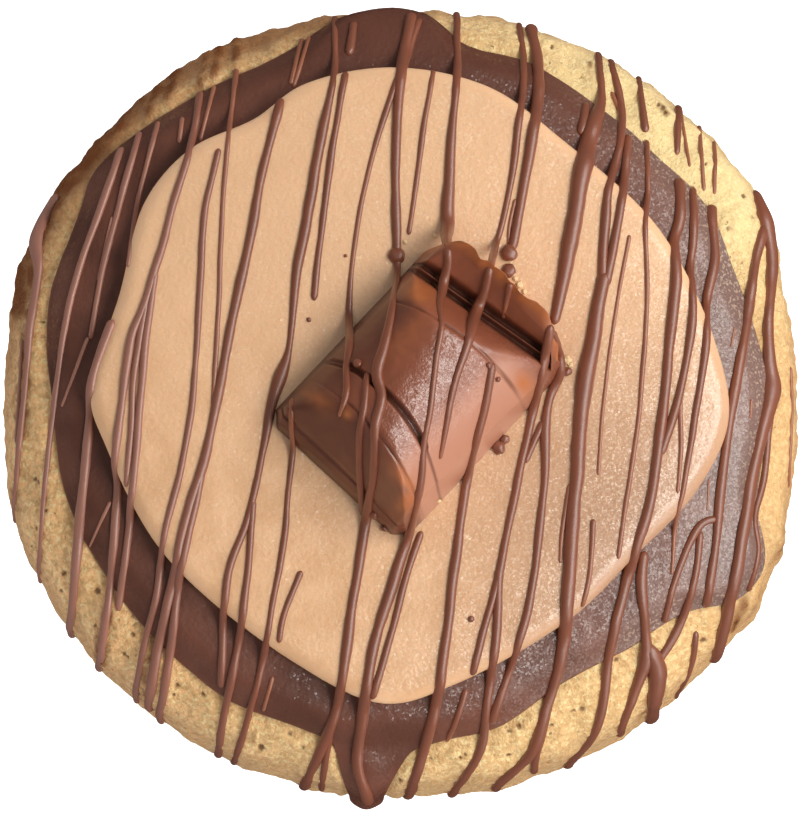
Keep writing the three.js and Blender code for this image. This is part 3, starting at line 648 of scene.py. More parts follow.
class BarForm:
    """The bar piece: an arched hump on a low plinth, with a break groove and a stub beyond it."""

    def __init__(self, sizes, floor):
        self.floor = floor
        self.height = sizes.bar_height / MM
        self.half_width = sizes.bar_half_width / MM
        self.turn = sizes.bar_turn
        score = smooth_line(SCORE_LINE, COURSE_STEPS)
        self.score_places = [place.x for place in score]
        self.score_sides = [-place.y for place in score]

    def plan(self, u, v):
        place = Vector((u, v))
        place.rotate(Matrix.Rotation(self.turn, 2))
        return BAR_CENTRE + place

    def stub_shift(self, v):
        """How far the end of the stub is cut back at its corners."""
        share = abs(v) / self.half_width
        corner = max(0, share - STUB_STRAIGHT_SHARE) / (1 - STUB_STRAIGHT_SHARE)
        return -STUB_CORNER_CUT * corner ** 2

    def start_shift(self, v):
        """How far the near end is cut back at its corners."""
        return START_CORNER_CUT * smooth_step(START_STRAIGHT_SHARE, 1.0, abs(v) / self.half_width)

    def ragged_shift(self, v):
        """Unevenness of the stub's broken edge."""
        return 1.0 * noise.noise((v * 0.3, 3.1, 0)) + 0.35 * noise.noise((v * 0.75, 7.7, 0))

    def bent_line(self, line, v):
        """Place along the bar of a line across it, bent as those of the hump, groove and stub are."""
        stops = (
            (HUMP_START, self.start_shift(v)),
            (HUMP_TOP_START, -START_ARC[0] * (v - START_ARC[1]) ** 2),
            (0, 0),
            (HUMP_TOP_END, -END_ARC[0] * (v - END_ARC[1]) ** 2),
            (GROOVE_START, -GROOVE_SKEW * v),
            (GROOVE_END, -GROOVE_SKEW * v),
            (STUB_END - STUB_RAGGED, self.stub_shift(v)),
            (STUB_END, self.stub_shift(v) + self.ragged_shift(v)),
        )
        places = [place for place, shift in stops]
        return line + value_along([shift for place, shift in stops], places, line)

    def rise_at_break(self, line):
        """Share of the rise that the broken end leaves."""
        if line <= GROOVE_START:
            return 1 + (GROOVE_LEVEL - 1) * (line - HUMP_TOP_END) / (GROOVE_START - HUMP_TOP_END)
        if line <= GROOVE_END:
            return GROOVE_LEVEL
        return GROOVE_LEVEL + (STUB_LEVEL - GROOVE_LEVEL) * (line - GROOVE_END) / (STUB_END - GROOVE_END)

    def rise_of_arch(self, line, v):
        """Share of the rise that the arch leaves across the bar."""
        crest = clamp(CREST_MIDDLE + CREST_SKEW * line, -CREST_LIMIT, CREST_LIMIT)
        reach = self.half_width - crest if v > crest else self.half_width + crest
        return max(0.0, 1 - ((v - crest) / reach) ** 2) ** ARCH_POWER

    def beside_score(self, line, v):
        """How far along the bar a place lies from the moulded channel."""
        return self.bent_line(line, v) - value_along(self.score_places, self.score_sides, -v)

    def score_share(self, line, v):
        """Share of the moulded channel's depth."""
        across = math.exp(-((self.beside_score(line, v) / SCORE_REACH) ** 4))
        return across * smooth_step(SCORE_END - SCORE_FADE, SCORE_END + SCORE_FADE, v)

    def crease_share(self, line, v):
        """Share of the depth of the creases: at both ends of the hump's top, and beyond the channel's end."""
        ends = max(bell(line - HUMP_TOP_START, CREASE_REACH), bell(line - HUMP_TOP_END, CREASE_REACH))
        ends *= 0.7 + 0.6 * noise.noise((v / 2, line, 2))
        return max(ends, bell(self.beside_score(line, v), CREASE_REACH))

    def groove_share(self, line, v):
        """Share of the break groove's depth: two narrow channels with a ridge between them."""
        from_middle = line - (GROOVE_START + GROOVE_END) / 2
        ridge = RIDGE_SHARE * bell(from_middle, RIDGE_REACH)
        channels = math.exp(-((from_middle / GROOVE_REACH) ** 6)) * (1 - ridge)
        return channels * smooth_step(-self.half_width, -self.half_width + GROOVE_FADE, v)

    def top(self, line, v):
        """Height over the floor."""
        rise = self.height - BAR_PLINTH
        shares = (
            (line - HUMP_START) / (HUMP_TOP_START - HUMP_START),
            self.rise_of_arch(line, v),
            self.rise_at_break(line),
        )
        height = BAR_PLINTH + rise * soft_least([max(share, 0.01) for share in shares], BAR_ROUNDNESS)
        height -= GROOVE_DEPTH * self.groove_share(line, v) + SCORE_DEPTH * self.score_share(line, v)
        height -= CREASE_DEPTH * max(self.crease_share(line, v), bell(line - FOOT_CREASE, CREASE_REACH))
        inside = self.half_width - abs(v)
        strip = BAR_STRIP_FOOT + BAR_STRIP_SLOPE * max(0.0, min(inside, line - HUMP_START))
        uneven = 0.1 * noise.noise((line / 2.5, v / 2.5, 0)) + 0.05 * noise.noise((line, v, 5))
        return max(BAR_LEAST_HEIGHT, min(height, strip) + uneven)


class Picture:
    """The camera's view: places on the picture plane, and what lies behind them."""

    def __init__(self):
        self.middle = Vector((0, 0, PICTURE_LEVEL))
        self.back = Vector((0, -math.cos(CAMERA_ELEVATION), math.sin(CAMERA_ELEVATION)))
        self.up = Vector((0, math.sin(CAMERA_ELEVATION), math.cos(CAMERA_ELEVATION)))
        self.eye = self.middle + self.back * CAMERA_DISTANCE

    def direction(self, spot):
        """Direction from the eye through a place on the picture plane."""
        place = self.middle + Vector((spot[0], 0, 0)) + self.up * spot[1]
        return (place - self.eye).normalized()

    def across(self, head):
        """Direction on the picture plane square to one given on it."""
        return (Vector((head[0], 0, 0)) + self.up * head[1]).cross(self.back).normalized()

    def spot(self, place):
        """Place on the picture plane that lies in front of a place in space."""
        seen = place - self.eye
        scale = -CAMERA_DISTANCE / seen.dot(self.back)
        return Vector((seen.x * scale, seen.dot(self.up) * scale))

    def first_hit(self, surfaces, direction):
        """Nearest (distance, outward direction) seen in a direction, or None."""
        hits = [surface.ray_cast(self.eye * MM, direction) for surface in surfaces]
        found = [(hit[3] / MM, hit[1]) for hit in hits if hit[0] is not None]
        return min(found, key=lambda hit: hit[0]) if found else None


# Meshes


def number_layers(bm, *names):
    """Adds named layers of numbers to a mesh's points."""
    return [bm.verts.layers.float.new(name) for name in names]


def spin_profile(bm, profile, columns):
    """Turns a profile of (radius, height) points, from axis to axis, into a closed shell."""
    chain = [bm.verts.new((radius, 0, height)) for radius, height in profile]
    edges = [bm.edges.new(pair) for pair in zip(chain, chain[1:])]
    bmesh.ops.spin(
        bm, geom=chain + edges, axis=(0, 0, 1), cent=(0, 0, 0),
        angle=FULL_TURN, steps=columns, use_merge=True,
    )
    bmesh.ops.remove_doubles(bm, verts=bm.verts, dist=1e-5)
    bmesh.ops.recalc_face_normals(bm, faces=bm.faces)


def finish_piece(bm, name, material, replaced=None):
    """Scales a mesh in millimetres to metres and makes it a piece of the object."""
    bmesh.ops.scale(bm, vec=(MM, MM, MM), verts=bm.verts)
    mesh = bpy.data.meshes.new(name)
    bm.to_mesh(mesh)
    bm.free()
    mesh.shade_smooth()
    mesh.materials.append(material)
    piece = bpy.data.objects.new(name, mesh)
    bpy.context.scene.collection.objects.link(piece)
    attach(piece, "root")
    if replaced:
        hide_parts(replaced)


def add_mesh(whole, part):
    """Adds a part's mesh to a whole one and frees it."""
    mesh = bpy.data.meshes.new("part")
    part.to_mesh(mesh)
    part.free()
    whole.from_mesh(mesh)
    bpy.data.meshes.remove(mesh)


def row_shares(first, step, count):
    """Evenly spaced shares, from the first one inwards."""
    return [first - step * index for index in range(count)]


def pool_profile(shares):
    """Unit profile of a pool: underside, half-round lip, then the top at the given shares of its radius."""
    lip_reach = 1 - shares[0]
    under = [(share, 0.0) for share in (*POOL_UNDER_SHARES, shares[0] - 0.02)]
    turns = [-QUARTER_TURN + math.pi * step / POOL_LIP_STEPS for step in range(POOL_LIP_STEPS + 1)]
    lip = [(shares[0] + lip_reach * math.cos(turn), 0.5 + 0.5 * math.sin(turn)) for turn in turns]
    over = [(share, 1.0) for share in shares[1:]]
    return [*under, *lip, *over]


def pool_mesh(form, edge, lift, shares, place_at, shoulder=None):
    """A pool with its edge at a lift off the round; each point is placed from its angle, its slant,
    its share of the way to the edge, and its fullness. A pool with a shoulder drips beyond it."""
    bm = bmesh.new()
    spin_profile(bm, pool_profile(shares), POOL_COLUMNS)
    grain_layer, shoulder_layer = number_layers(bm, "grain", "shoulder")

    @functools.lru_cache(maxsize=None)
    def edge_slants(angle):
        end = form.slant_at(angle, edge.radius(angle), lift)
        if not shoulder:
            return end, end
        drip = bell(math.remainder(angle - DRIP_ANGLE, FULL_TURN), DRIP_HALF_WIDTH)
        return form.slant_at(angle, shoulder.radius(angle), lift), end + DRIP_SLANT * drip

    for vert in bm.verts:
        share = vert.co.xy.length
        full = vert.co.z
        angle = round(math.atan2(vert.co.y, vert.co.x), 4) if share > 1e-4 else 0.0
        if shoulder:
            angle = math.remainder(angle + DRIP_ANGLE - DRIP_CLOSENESS * math.sin(angle), FULL_TURN)
        plain, end = edge_slants(angle)
        vert.co = place_at(angle, end * share, end * share / plain, full)
        vert[grain_layer] = smooth_step(*GRAIN_SHARES, share)
        vert[shoulder_layer] = smooth_step(*SHOULDER_SHARES, share)
    return bm


# Finishes


class Finish:
    """A material built up in layers of colour and relief, which follow the piece's own coordinates."""

    def __init__(self, name, colour, roughness, specular):
        self.material = bpy.data.materials.new(name)
        self.material.use_nodes = True
        self.tree = self.material.node_tree
        self.shader = self.tree.nodes["Principled BSDF"]
        self.coordinates = self.tree.nodes.new("ShaderNodeTexCoord").outputs["Object"]
        self.colour = colour
        self.normal = None
        self.set("Roughness", roughness)
        self.set("Specular IOR Level", specular)

    def feed(self, socket, value):
        """Links an output to a socket, or sets a plain value on it."""
        if isinstance(value, bpy.types.NodeSocket):
            self.tree.links.new(value, socket)
        elif socket.type == "RGBA":
            socket.default_value = (*value, 1.0)
        else:
            socket.default_value = value

    def set(self, name, value):
        """Links an output to one of the shader's sockets, or sets a plain value on it."""
        self.feed(self.shader.inputs[name], value)

    def grain(self, size, detail):
        """Noise with features of about that size in millimetres."""
        node = self.tree.nodes.new("ShaderNodeTexNoise")
        self.feed(node.inputs["Vector"], self.coordinates)
        node.inputs["Scale"].default_value = 1 / (size * MM)
        node.inputs["Detail"].default_value = detail
        return node.outputs["Fac"]

    def coordinate(self, name):
        """One of the piece's own coordinates, in metres."""
        node = self.tree.nodes.new("ShaderNodeSeparateXYZ")
        self.feed(node.inputs["Vector"], self.coordinates)
        return node.outputs[name]

    def attribute(self, name):
        node = self.tree.nodes.new("ShaderNodeAttribute")
        node.attribute_name = name
        return node.outputs["Fac"]

    def ramp(self, value, low, high, first=0.0, last=1.0):
        """A value between low and high, stretched smoothly to run from first to last."""
        node = self.tree.nodes.new("ShaderNodeMapRange")
        node.interpolation_type = "SMOOTHSTEP"
        self.feed(node.inputs["Value"], value)
        for name, number in (("From Min", low), ("From Max", high), ("To Min", first), ("To Max", last)):
            node.inputs[name].default_value = number
        return node.outputs["Result"]

    def across(self, axis, low, high, first=0.0, last=1.0):
        """A ramp along one of the piece's own axes, between two places in millimetres."""
        return self.ramp(self.coordinate(axis), low * MM, high * MM, first, last)

    def patches(self, size, detail, low, high, first=0.0, last=1.0):
        """Noise stretched into patches of about that size in millimetres."""
        return self.ramp(self.grain(size, detail), low, high, first, last)

    def product(self, first, second):
        node = self.tree.nodes.new("ShaderNodeMath")
        node.operation = "MULTIPLY"
        self.feed(node.inputs[0], first)
        self.feed(node.inputs[1], second)
        return node.outputs["Value"]

    def layer(self, share, colour):
        """Lays a colour over those so far, by a share."""
        node = self.tree.nodes.new("ShaderNodeMix")
        node.data_type = "RGBA"
        sockets = [socket for socket in node.inputs if socket.enabled]
        for socket, value in zip(sockets, (share, self.colour, colour)):
            self.feed(socket, value)
        self.colour = next(socket for socket in node.outputs if socket.enabled)

    def relief(self, height, depth):
        """Adds fine relief of that depth in millimetres to that so far."""
        node = self.tree.nodes.new("ShaderNodeBump")
        node.inputs["Distance"].default_value = depth * MM
        self.feed(node.inputs["Height"], height)
        if self.normal:
            self.feed(node.inputs["Normal"], self.normal)
        self.normal = node.outputs["Normal"]

    def vector(self, operation, *values):
        node = self.tree.nodes.new("ShaderNodeVectorMath")
        node.operation = operation
        for socket, value in zip(node.inputs, values):
            self.feed(socket, value)
        return node.outputs["Vector"]

    def glint(self, size, tilt, weight, roughness):
        """A clear coat of facets about that many millimetres wide, each tilted by chance."""
        cells = self.tree.nodes.new("ShaderNodeTexVoronoi")
        self.feed(cells.inputs["Vector"], self.coordinates)
        cells.inputs["Scale"].default_value = 1 / (size * MM)
        chance = self.vector("SUBTRACT", cells.outputs["Color"], (0.5, 0.5, 0.5))
        surface = self.tree.nodes.new("ShaderNodeNewGeometry").outputs["Normal"]
        facet = self.vector("NORMALIZE", self.vector("MULTIPLY_ADD", chance, (tilt, tilt, tilt), surface))
        self.set("Coat Weight", weight)
        self.set("Coat Roughness", roughness)
        self.set("Coat Normal", facet)

    def soften(self, weight, scale, radius):
        """Light that scatters under the surface, over about that many millimetres."""
        self.set("Subsurface Weight", weight)
        self.set("Subsurface Scale", scale * MM)
        self.set("Subsurface Radius", radius)

    def done(self):
        """The material, with its layers of colour and relief on the shader."""
        self.set("Base Color", self.colour)
        if self.normal:
            self.set("Normal", self.normal)
        return self.material


def dough_finish(colours):
    finish = Finish("baked_dough", colours.dough, 0.5, 0.4)
    # Painted warm shade: the dough turns warmer towards the left, away from the lights
    finish.layer(finish.across("X", 0, -40, 0.0, 0.9), colours.dough_shade_tint)
    finish.layer(finish.patches(6, 3, 0.4, 0.75, 0.0, 0.35), colours.dough_dark_and_shade)
    finish.layer(finish.patches(0.8, 4, 0.66, 0.3, 0.0, 0.9), colours.dough_dark_and_shade)
    finish.layer(finish.patches(0.6, 2, 0.5, 0.66, 0.0, 0.6), colours.dough_pale_and_light)
    # Painted light: the dough is paler towards the upper right, where the light falls most
    painted_light_upper_right = finish.product(finish.across("X", 5, 30), finish.across("Y", 5, 25, 0.0, 0.55))
    finish.layer(painted_light_upper_right, colours.dough_pale_and_light)
    # Painted shade: the dough is darker towards the lower right
    lower_right = finish.product(finish.across("X", 30, 45), finish.across("Y", 16, 4, 0.0, 0.4))
    finish.layer(lower_right, colours.dough_dark_and_shade)
    # Browned edges, with painted shade on the side away from the lights
    finish.layer(finish.attribute("edge_browning_shade"), colours.crust_browning_shade)
    finish.layer(finish.across("Z", 6, 1, 0.0, 0.8), colours.crust_browning_shade)
    flecks = finish.product(finish.patches(0.7, 2, 0.68, 0.74, 0.0, 0.7), finish.patches(5, 2, 0.45, 0.6))
    finish.layer(flecks, colours.speck)
    smear = finish.attribute("smear")
    finish.layer(finish.ramp(smear, 0.05, 0.9, 0.0, 0.9), colours.smear)
    finish.layer(finish.ramp(finish.attribute("pit"), 0.2, 0.75, 0.0, 0.85), colours.speck)
    finish.relief(finish.grain(0.9, 4), 0.3)
    finish.relief(finish.grain(0.35, 2), 0.2)
    finish.set("Roughness", finish.ramp(smear, 0.1, 0.8, 0.5, 0.28))
    finish.soften(0.1, 1.0, (1.0, 0.6, 0.3))
    return finish.done()


def chocolate_finish(colours):
    finish = Finish("pool_chocolate", colours.chocolate, 0.5, 1.0)
    finish.layer(finish.patches(8, 2, 0.35, 0.65), colours.chocolate_dark_and_shade)
    # Painted shade: the far side of the pool is darker
    finish.layer(finish.across("Y", 26, 44, 0.0, 0.75), colours.chocolate_dark_and_shade)
    # Painted sheen: the pool turns paler and greyer towards the right and on its lit shoulder
    finish.layer(finish.across("X", 22, 46, 0.0, 0.45), colours.chocolate_painted_sheen)
    shoulder = finish.product(finish.attribute("shoulder"), finish.across("X", 15, 40))
    finish.layer(finish.product(shoulder, 0.5), colours.chocolate_painted_sheen)
    # Painted glints on the lit shoulder of the pool
    flecks = finish.product(finish.patches(0.4, 1, 0.54, 0.66, 0.0, 0.3), shoulder)
    finish.layer(flecks, colours.painted_glint)
    finish.relief(finish.grain(2.2, 2), 0.06)
    finish.relief(finish.grain(0.6, 2), 0.1)
    finish.glint(0.22, 0.5, 0.8, 0.22)
    return finish.done()


def cream_finish(colours):
    finish = Finish("hazelnut_cream", colours.cream, 0.36, 0.9)
    finish.layer(finish.patches(5, 4, 0.35, 0.7), colours.cream_pale)
    finish.layer(finish.across("Y", -15, 20, 0.0, 0.9), colours.cream_pale)
    # Darker, greyer cream towards the lower right
    lower_right = finish.product(finish.across("X", -5, 30), finish.across("Y", 18, -18))
    finish.layer(lower_right, colours.cream_lower_right)
    grainy = finish.attribute("grain")
    # Painted glints: bright specks, more of them towards the lit right side
    flecks = finish.product(finish.patches(0.34, 1, 0.54, 0.68), grainy)
    shown = finish.product(finish.patches(4, 2, 0.38, 0.62, 0.3, 1.0), finish.across("X", -25, 20, 0.2, 0.5))
    finish.layer(finish.product(flecks, shown), colours.painted_glint)
    finish.relief(finish.grain(2.5, 2), 0.08)
    finish.relief(finish.product(finish.grain(0.6, 2), grainy), 0.1)
    finish.glint(0.2, 0.4, finish.product(grainy, 0.9), 0.24)
    finish.soften(0.15, 1.2, (1.0, 0.55, 0.3))
    return finish.done()


def bar_finish(colours):
    finish = Finish("bar_coat", colours.bar, 0.4, 1.0)
    finish.layer(finish.patches(3, 3, 0.35, 0.7, 0.0, 0.3), colours.chocolate)
    # Painted light on the bar's lit side
    finish.layer(finish.attribute("painted_light_side"), colours.bar_painted_light)
    # Painted shade in the bar's recesses and on its sides away from the lights
    finish.layer(finish.attribute("painted_shade"), colours.bar_painted_shade)
    # Painted warm reflections on the bar
    finish.layer(finish.attribute("warm_reflection"), colours.bar_warm_reflection)
    scuff = finish.attribute("scuff")
    finish.relief(finish.grain(1.6, 2), 0.04)
    finish.relief(finish.product(finish.grain(0.3, 2), scuff), 0.12)
    finish.glint(0.26, 0.4, scuff, 0.25)
    return finish.done()


def drizzle_finish(colours):
    finish = Finish("drizzled_chocolate", colours.drizzle, 0.46, 1.0)
    finish.set("Coat Weight", 0.5)
    finish.set("Coat Roughness", 0.4)
    finish.layer(finish.patches(4, 2, 0.3, 0.7, 0.0, 0.45), colours.chocolate)
    finish.layer(finish.attribute("thin"), colours.drizzle_thin)
    # Painted sheen: the drizzle turns paler towards the left
    finish.layer(finish.across("X", -14, -42, 0.0, 0.55), colours.drizzle_painted_sheen)
    finish.relief(finish.grain(1.1, 2), 0.06)
    return finish.done()


def wafer_finish(colours):
    finish = Finish("wafer", colours.wafer, 0.7, 0.3)
    finish.layer(finish.grain(0.4, 2), colours.dough)
    finish.relief(finish.grain(0.3, 2), 0.08)
    return finish.done()


def floor_finish(colours):
    finish = Finish("floor", colours.floor, 0.9, 0.1)
    finish.set("Emission Color", (1, 1, 1))
    finish.set("Emission Strength", FLOOR_GLOW)
    return finish.done()


# Pieces


def crust_waves(place):
    """Low bumps of the crust."""
    waves = (
        0.5 * math.sin(0.61 * place.x + 0.53 * place.y + 0.5)
        + 0.5 * math.sin(0.61 * place.x - 0.53 * place.y + 1.3)
        + 0.6 * math.sin(0.29 * place.x - 0.71 * place.y + 0.5 * place.z)
    )
    return WAVE_HEIGHT * waves


def pit_share(spot):
    """How deep the pits are at a place on the picture plane."""
    near = [(spot - Vector((x, y))).length / radius for x, y, radius in PITS if abs(spot.x - x) < 1]
    return max((bell(distance, 1.0) for distance in near), default=0.0)


def smear_share(spot):
    """How thickly the smears cover the crust at a place on the picture plane."""
    thickest = 0.0
    for reach, strength, *course in SMEARS:
        for start, end in zip(course, course[1:]):
            if abs(spot.y - (start[1] + end[1]) / 2) < abs(start[1] - end[1]) / 2 + 2 * reach:
                nearest = distance_to(spot, Vector(start), Vector(end))
                thickest = max(thickest, strength * bell(nearest, reach))
    return thickest


def make_baked_round(sizes, material):
    form = RoundForm(sizes)
    picture = Picture()
    chocolate = PolarLine(CHOCOLATE_EDGE)
    mean_radius = sum(RIM_RADII) / len(RIM_RADII)
    slants = [math.radians(slant) for slant in ROUND_HIDDEN_SLANTS]
    slants += form.even_slants(math.radians(ROUND_OPEN_SLANT), math.pi, ROUND_ROW_STEP)
    rows = [form.profile(slant) for slant in slants]
    profile = [(reach * mean_radius, height) for reach, height in rows]
    bm = bmesh.new()
    spin_profile(bm, [*profile, (profile[-1][0] * 0.9, 0), (0, 0)], ROUND_COLUMNS)
    pit_layer, smear_layer, browning_shade_layer = number_layers(bm, "pit", "smear", "edge_browning_shade")
    for vert in bm.verts:
        stretch = form.rim.radius(math.atan2(vert.co.y, vert.co.x)) / mean_radius
        vert.co.x *= stretch
        vert.co.y *= stretch
    bm.normal_update()
    crumb = sizes.crumb / MM
    for vert in bm.verts:
        place = vert.co.copy()
        outside = place.xy.length - chocolate.radius(math.atan2(place.y, place.x))
        open_share = smooth_step(-1.5, 0.5, outside) * smooth_step(0.3, 3, place.z)
        if open_share == 0:
            continue
        swelling = SWELLING_HEIGHT * bell(outside - SWELLING_MIDDLE, SWELLING_REACH)
        patch = noise.noise(place / PATCH_SIZE)
        swelling *= 0.7 + patch
        grains = 0.5 - noise.voronoi(place / GRAIN_SIZE)[0][0]
        lumps = noise.fractal(place / LUMP_SIZE, 0.8, 2.0, 3)
        nearest = noise.voronoi(place / PORE_SPACING)[0][0]
        pit = 0.5 * smooth_step(0.2, 0.08, nearest) * smooth_step(0.1, 0.4, patch)
        spot = picture.spot(place)
        upward = smooth_step(-0.1, 0.25, vert.normal.z)
        pit = max(pit, pit_share(spot) * upward)
        hills = HILL_HEIGHT * noise.noise(place / HILL_SIZE)
        smear = smear_share(spot) * upward * (0.85 + 0.7 * noise.noise(place / SMEAR_PATCH_SIZE))
        relief = crust_waves(place) + swelling + hills + crumb * (1.3 * grains + 0.9 * lumps)
        relief += SMEAR_HEIGHT * smear - PIT_DEPTH * pit
        # Edges browned all round, darkened more with painted shade on the side away from the lights
        away = smooth_step(0.5, 1.0, place.xy.normalized().dot(SHADED_SIDE))
        lean = smooth_step(0.35 - 0.4 * away, 0.95 - 0.55 * away, 1 - vert.normal.z)
        side_shade = away * smooth_step(form.waist - 9, form.waist, place.z)
        vert[browning_shade_layer] = lean * (0.45 + 0.45 * side_shade)
        vert.co += vert.normal * relief * open_share * (1 - 0.5 * bell(place.z - form.waist, 3))
        vert[pit_layer] = pit * open_share
        vert[smear_layer] = smear * open_share
    finish_piece(bm, "baked_round", material, "cookie")


def make_chocolate_pool(sizes, material):
    form = RoundForm(sizes)
    thickness = LayerLevels(sizes, form).chocolate_top

    def place_at(angle, slant, share, full):
        edge_noise = noise.noise((6 * math.cos(angle), 6 * math.sin(angle), 0))
        edge_noise += 0.5 * noise.noise((17 * math.cos(angle), 17 * math.sin(angle), 4))
        slant *= 1 + 0.008 * edge_noise * smooth_step(0.9, 1.0, share)
        place = form.point(angle, slant)
        taper = 1 - 0.75 * smooth_step(0.8, 1.0, share)
        taper *= 1 - 0.5 * smooth_step(math.radians(60), math.radians(85), slant)
        drip = bell(math.remainder(angle - DRIP_ANGLE, FULL_TURN), DRIP_HALF_WIDTH)
        beyond = smooth_step(1.0, 1.15, share) + smooth_step(1.15, 1.4, share)
        taper += drip * DRIP_FULLNESS * beyond
        ripples = 0.12 * noise.noise(place / 6.0) + 0.05 * noise.noise(place / 2.0)
        return form.point(angle, slant, (thickness * taper + ripples) * full - POOL_SINK * (1 - full))

    shares = [*row_shares(*CHOCOLATE_ROWS), 0.2, 0.0]
    edge = PolarLine(CHOCOLATE_EDGE)
    shoulder = PolarLine([point for point in CHOCOLATE_EDGE if point[1] > DRIP_START])
    bm = pool_mesh(form, edge, thickness / 4, shares, place_at, shoulder)
    finish_piece(bm, "chocolate_pool", material, "chocolate_layer")


def make_cream_pool(sizes, material):
    form = RoundForm(sizes)
    levels = LayerLevels(sizes, form)
    low = levels.chocolate_top - POOL_SINK

    def place_at(angle, slant, share, full):
        place = form.point(angle, slant, low + (levels.cream_top - low) * full)
        place.z += (0.14 * noise.noise(place / 8.0) + 0.06 * noise.noise(place / 2.6)) * full
        over = place.z - (levels.plateau - 1)
        if over > 0:
            place.z = levels.plateau - 1 + over / (1 + over ** 4) ** 0.25
        return place

    middle = (low + levels.cream_top) / 2
    shares = [*row_shares(*CREAM_ROWS), 0.0]
    bm = pool_mesh(form, PolarLine(CREAM_EDGE), middle, shares, place_at)
    finish_piece(bm, "cream_pool", material, "cream_layer")


def make_bar_piece(sizes, material):
    bar = BarForm(sizes, LayerLevels(sizes, RoundForm(sizes)).plateau)
    bm = bmesh.new()
    bmesh.ops.create_grid(bm, x_segments=BAR_LINES[0], y_segments=BAR_LINES[1], size=1)
    layers = number_layers(bm, "warm_reflection", "scuff", "painted_shade", "painted_light_side")
    thin_and_reflection_layer, scuff_layer, painted_shade_layer, painted_light_layer = layers
    for vert in bm.verts:
        line = HUMP_START + (vert.co.x + 1) / 2 * (STUB_END - HUMP_START)
        v = vert.co.y * bar.half_width
        u = bar.bent_line(line, v)
        patchy = 0.85 + 0.5 * noise.noise((line, v, 0))
        # Painted warm reflections, with painted warm light along the stub's broken edge
        spots = [
            thin * bell(u - at, along) * bell(v - beside, across)
            for at, beside, along, across, thin in WARM_REFLECTIONS
        ]
        broken = 0.8 * smooth_step(STUB_END - 1.6, STUB_END - 0.2, line)
        vert[thin_and_reflection_layer] = max(*spots, broken) * patchy
        top = smooth_step(3.5, 0.5, v) * smooth_step(-9, -4, v) * smooth_step(-9, -7.5, line)
        strip = bell(line - GROOVE_START + 0.9, 0.7) * smooth_step(3, 0, v)
        vert[scuff_layer] = max(top * smooth_step(HUMP_TOP_END, HUMP_TOP_END - 1, line), strip)
        # Painted shade: the far side, the near end, the channel, the break groove and the creases
        far_side = 0.6 * smooth_step(4, 9, v) * smooth_step(GROOVE_START, HUMP_TOP_END, line)
        near_end = smooth_step(HUMP_TOP_START + 0.5, HUMP_TOP_START - 1.5, line)
        near_end *= 0.4 + 0.3 * smooth_step(-5, 5, v)
        score = 0.7 * bar.score_share(line, v)
        groove = 0.85 * bar.groove_share(line, v)
        crease = 0.6 * bar.crease_share(line, v)
        vert[painted_shade_layer] = max(far_side, near_end, score, groove, crease)
        # Painted light: the lit side of the hump is paler
        lit_side = smooth_step(-3.5, -7, v) * smooth_step(HUMP_TOP_START - 3, HUMP_TOP_START + 1, line)
        vert[painted_light_layer] = lit_side * smooth_step(GROOVE_START, HUMP_TOP_END, line)
        place = bar.plan(u, v)
        vert.co = (place.x, place.y, bar.floor + bar.top(line, v))
    rim = [edge for edge in bm.edges if edge.is_boundary]
    wall = bmesh.ops.extrude_edge_only(bm, edges=rim)["geom"]
    for vert in wall:
        if isinstance(vert, bmesh.types.BMVert):
            vert.co.z = bar.floor - BAR_SINK
    bmesh.ops.contextual_create(bm, geom=[edge for edge in wall if isinstance(edge, bmesh.types.BMEdge)])
    bmesh.ops.recalc_face_normals(bm, faces=bm.faces)
    finish_piece(bm, "bar_segment", material, "bar_piece")


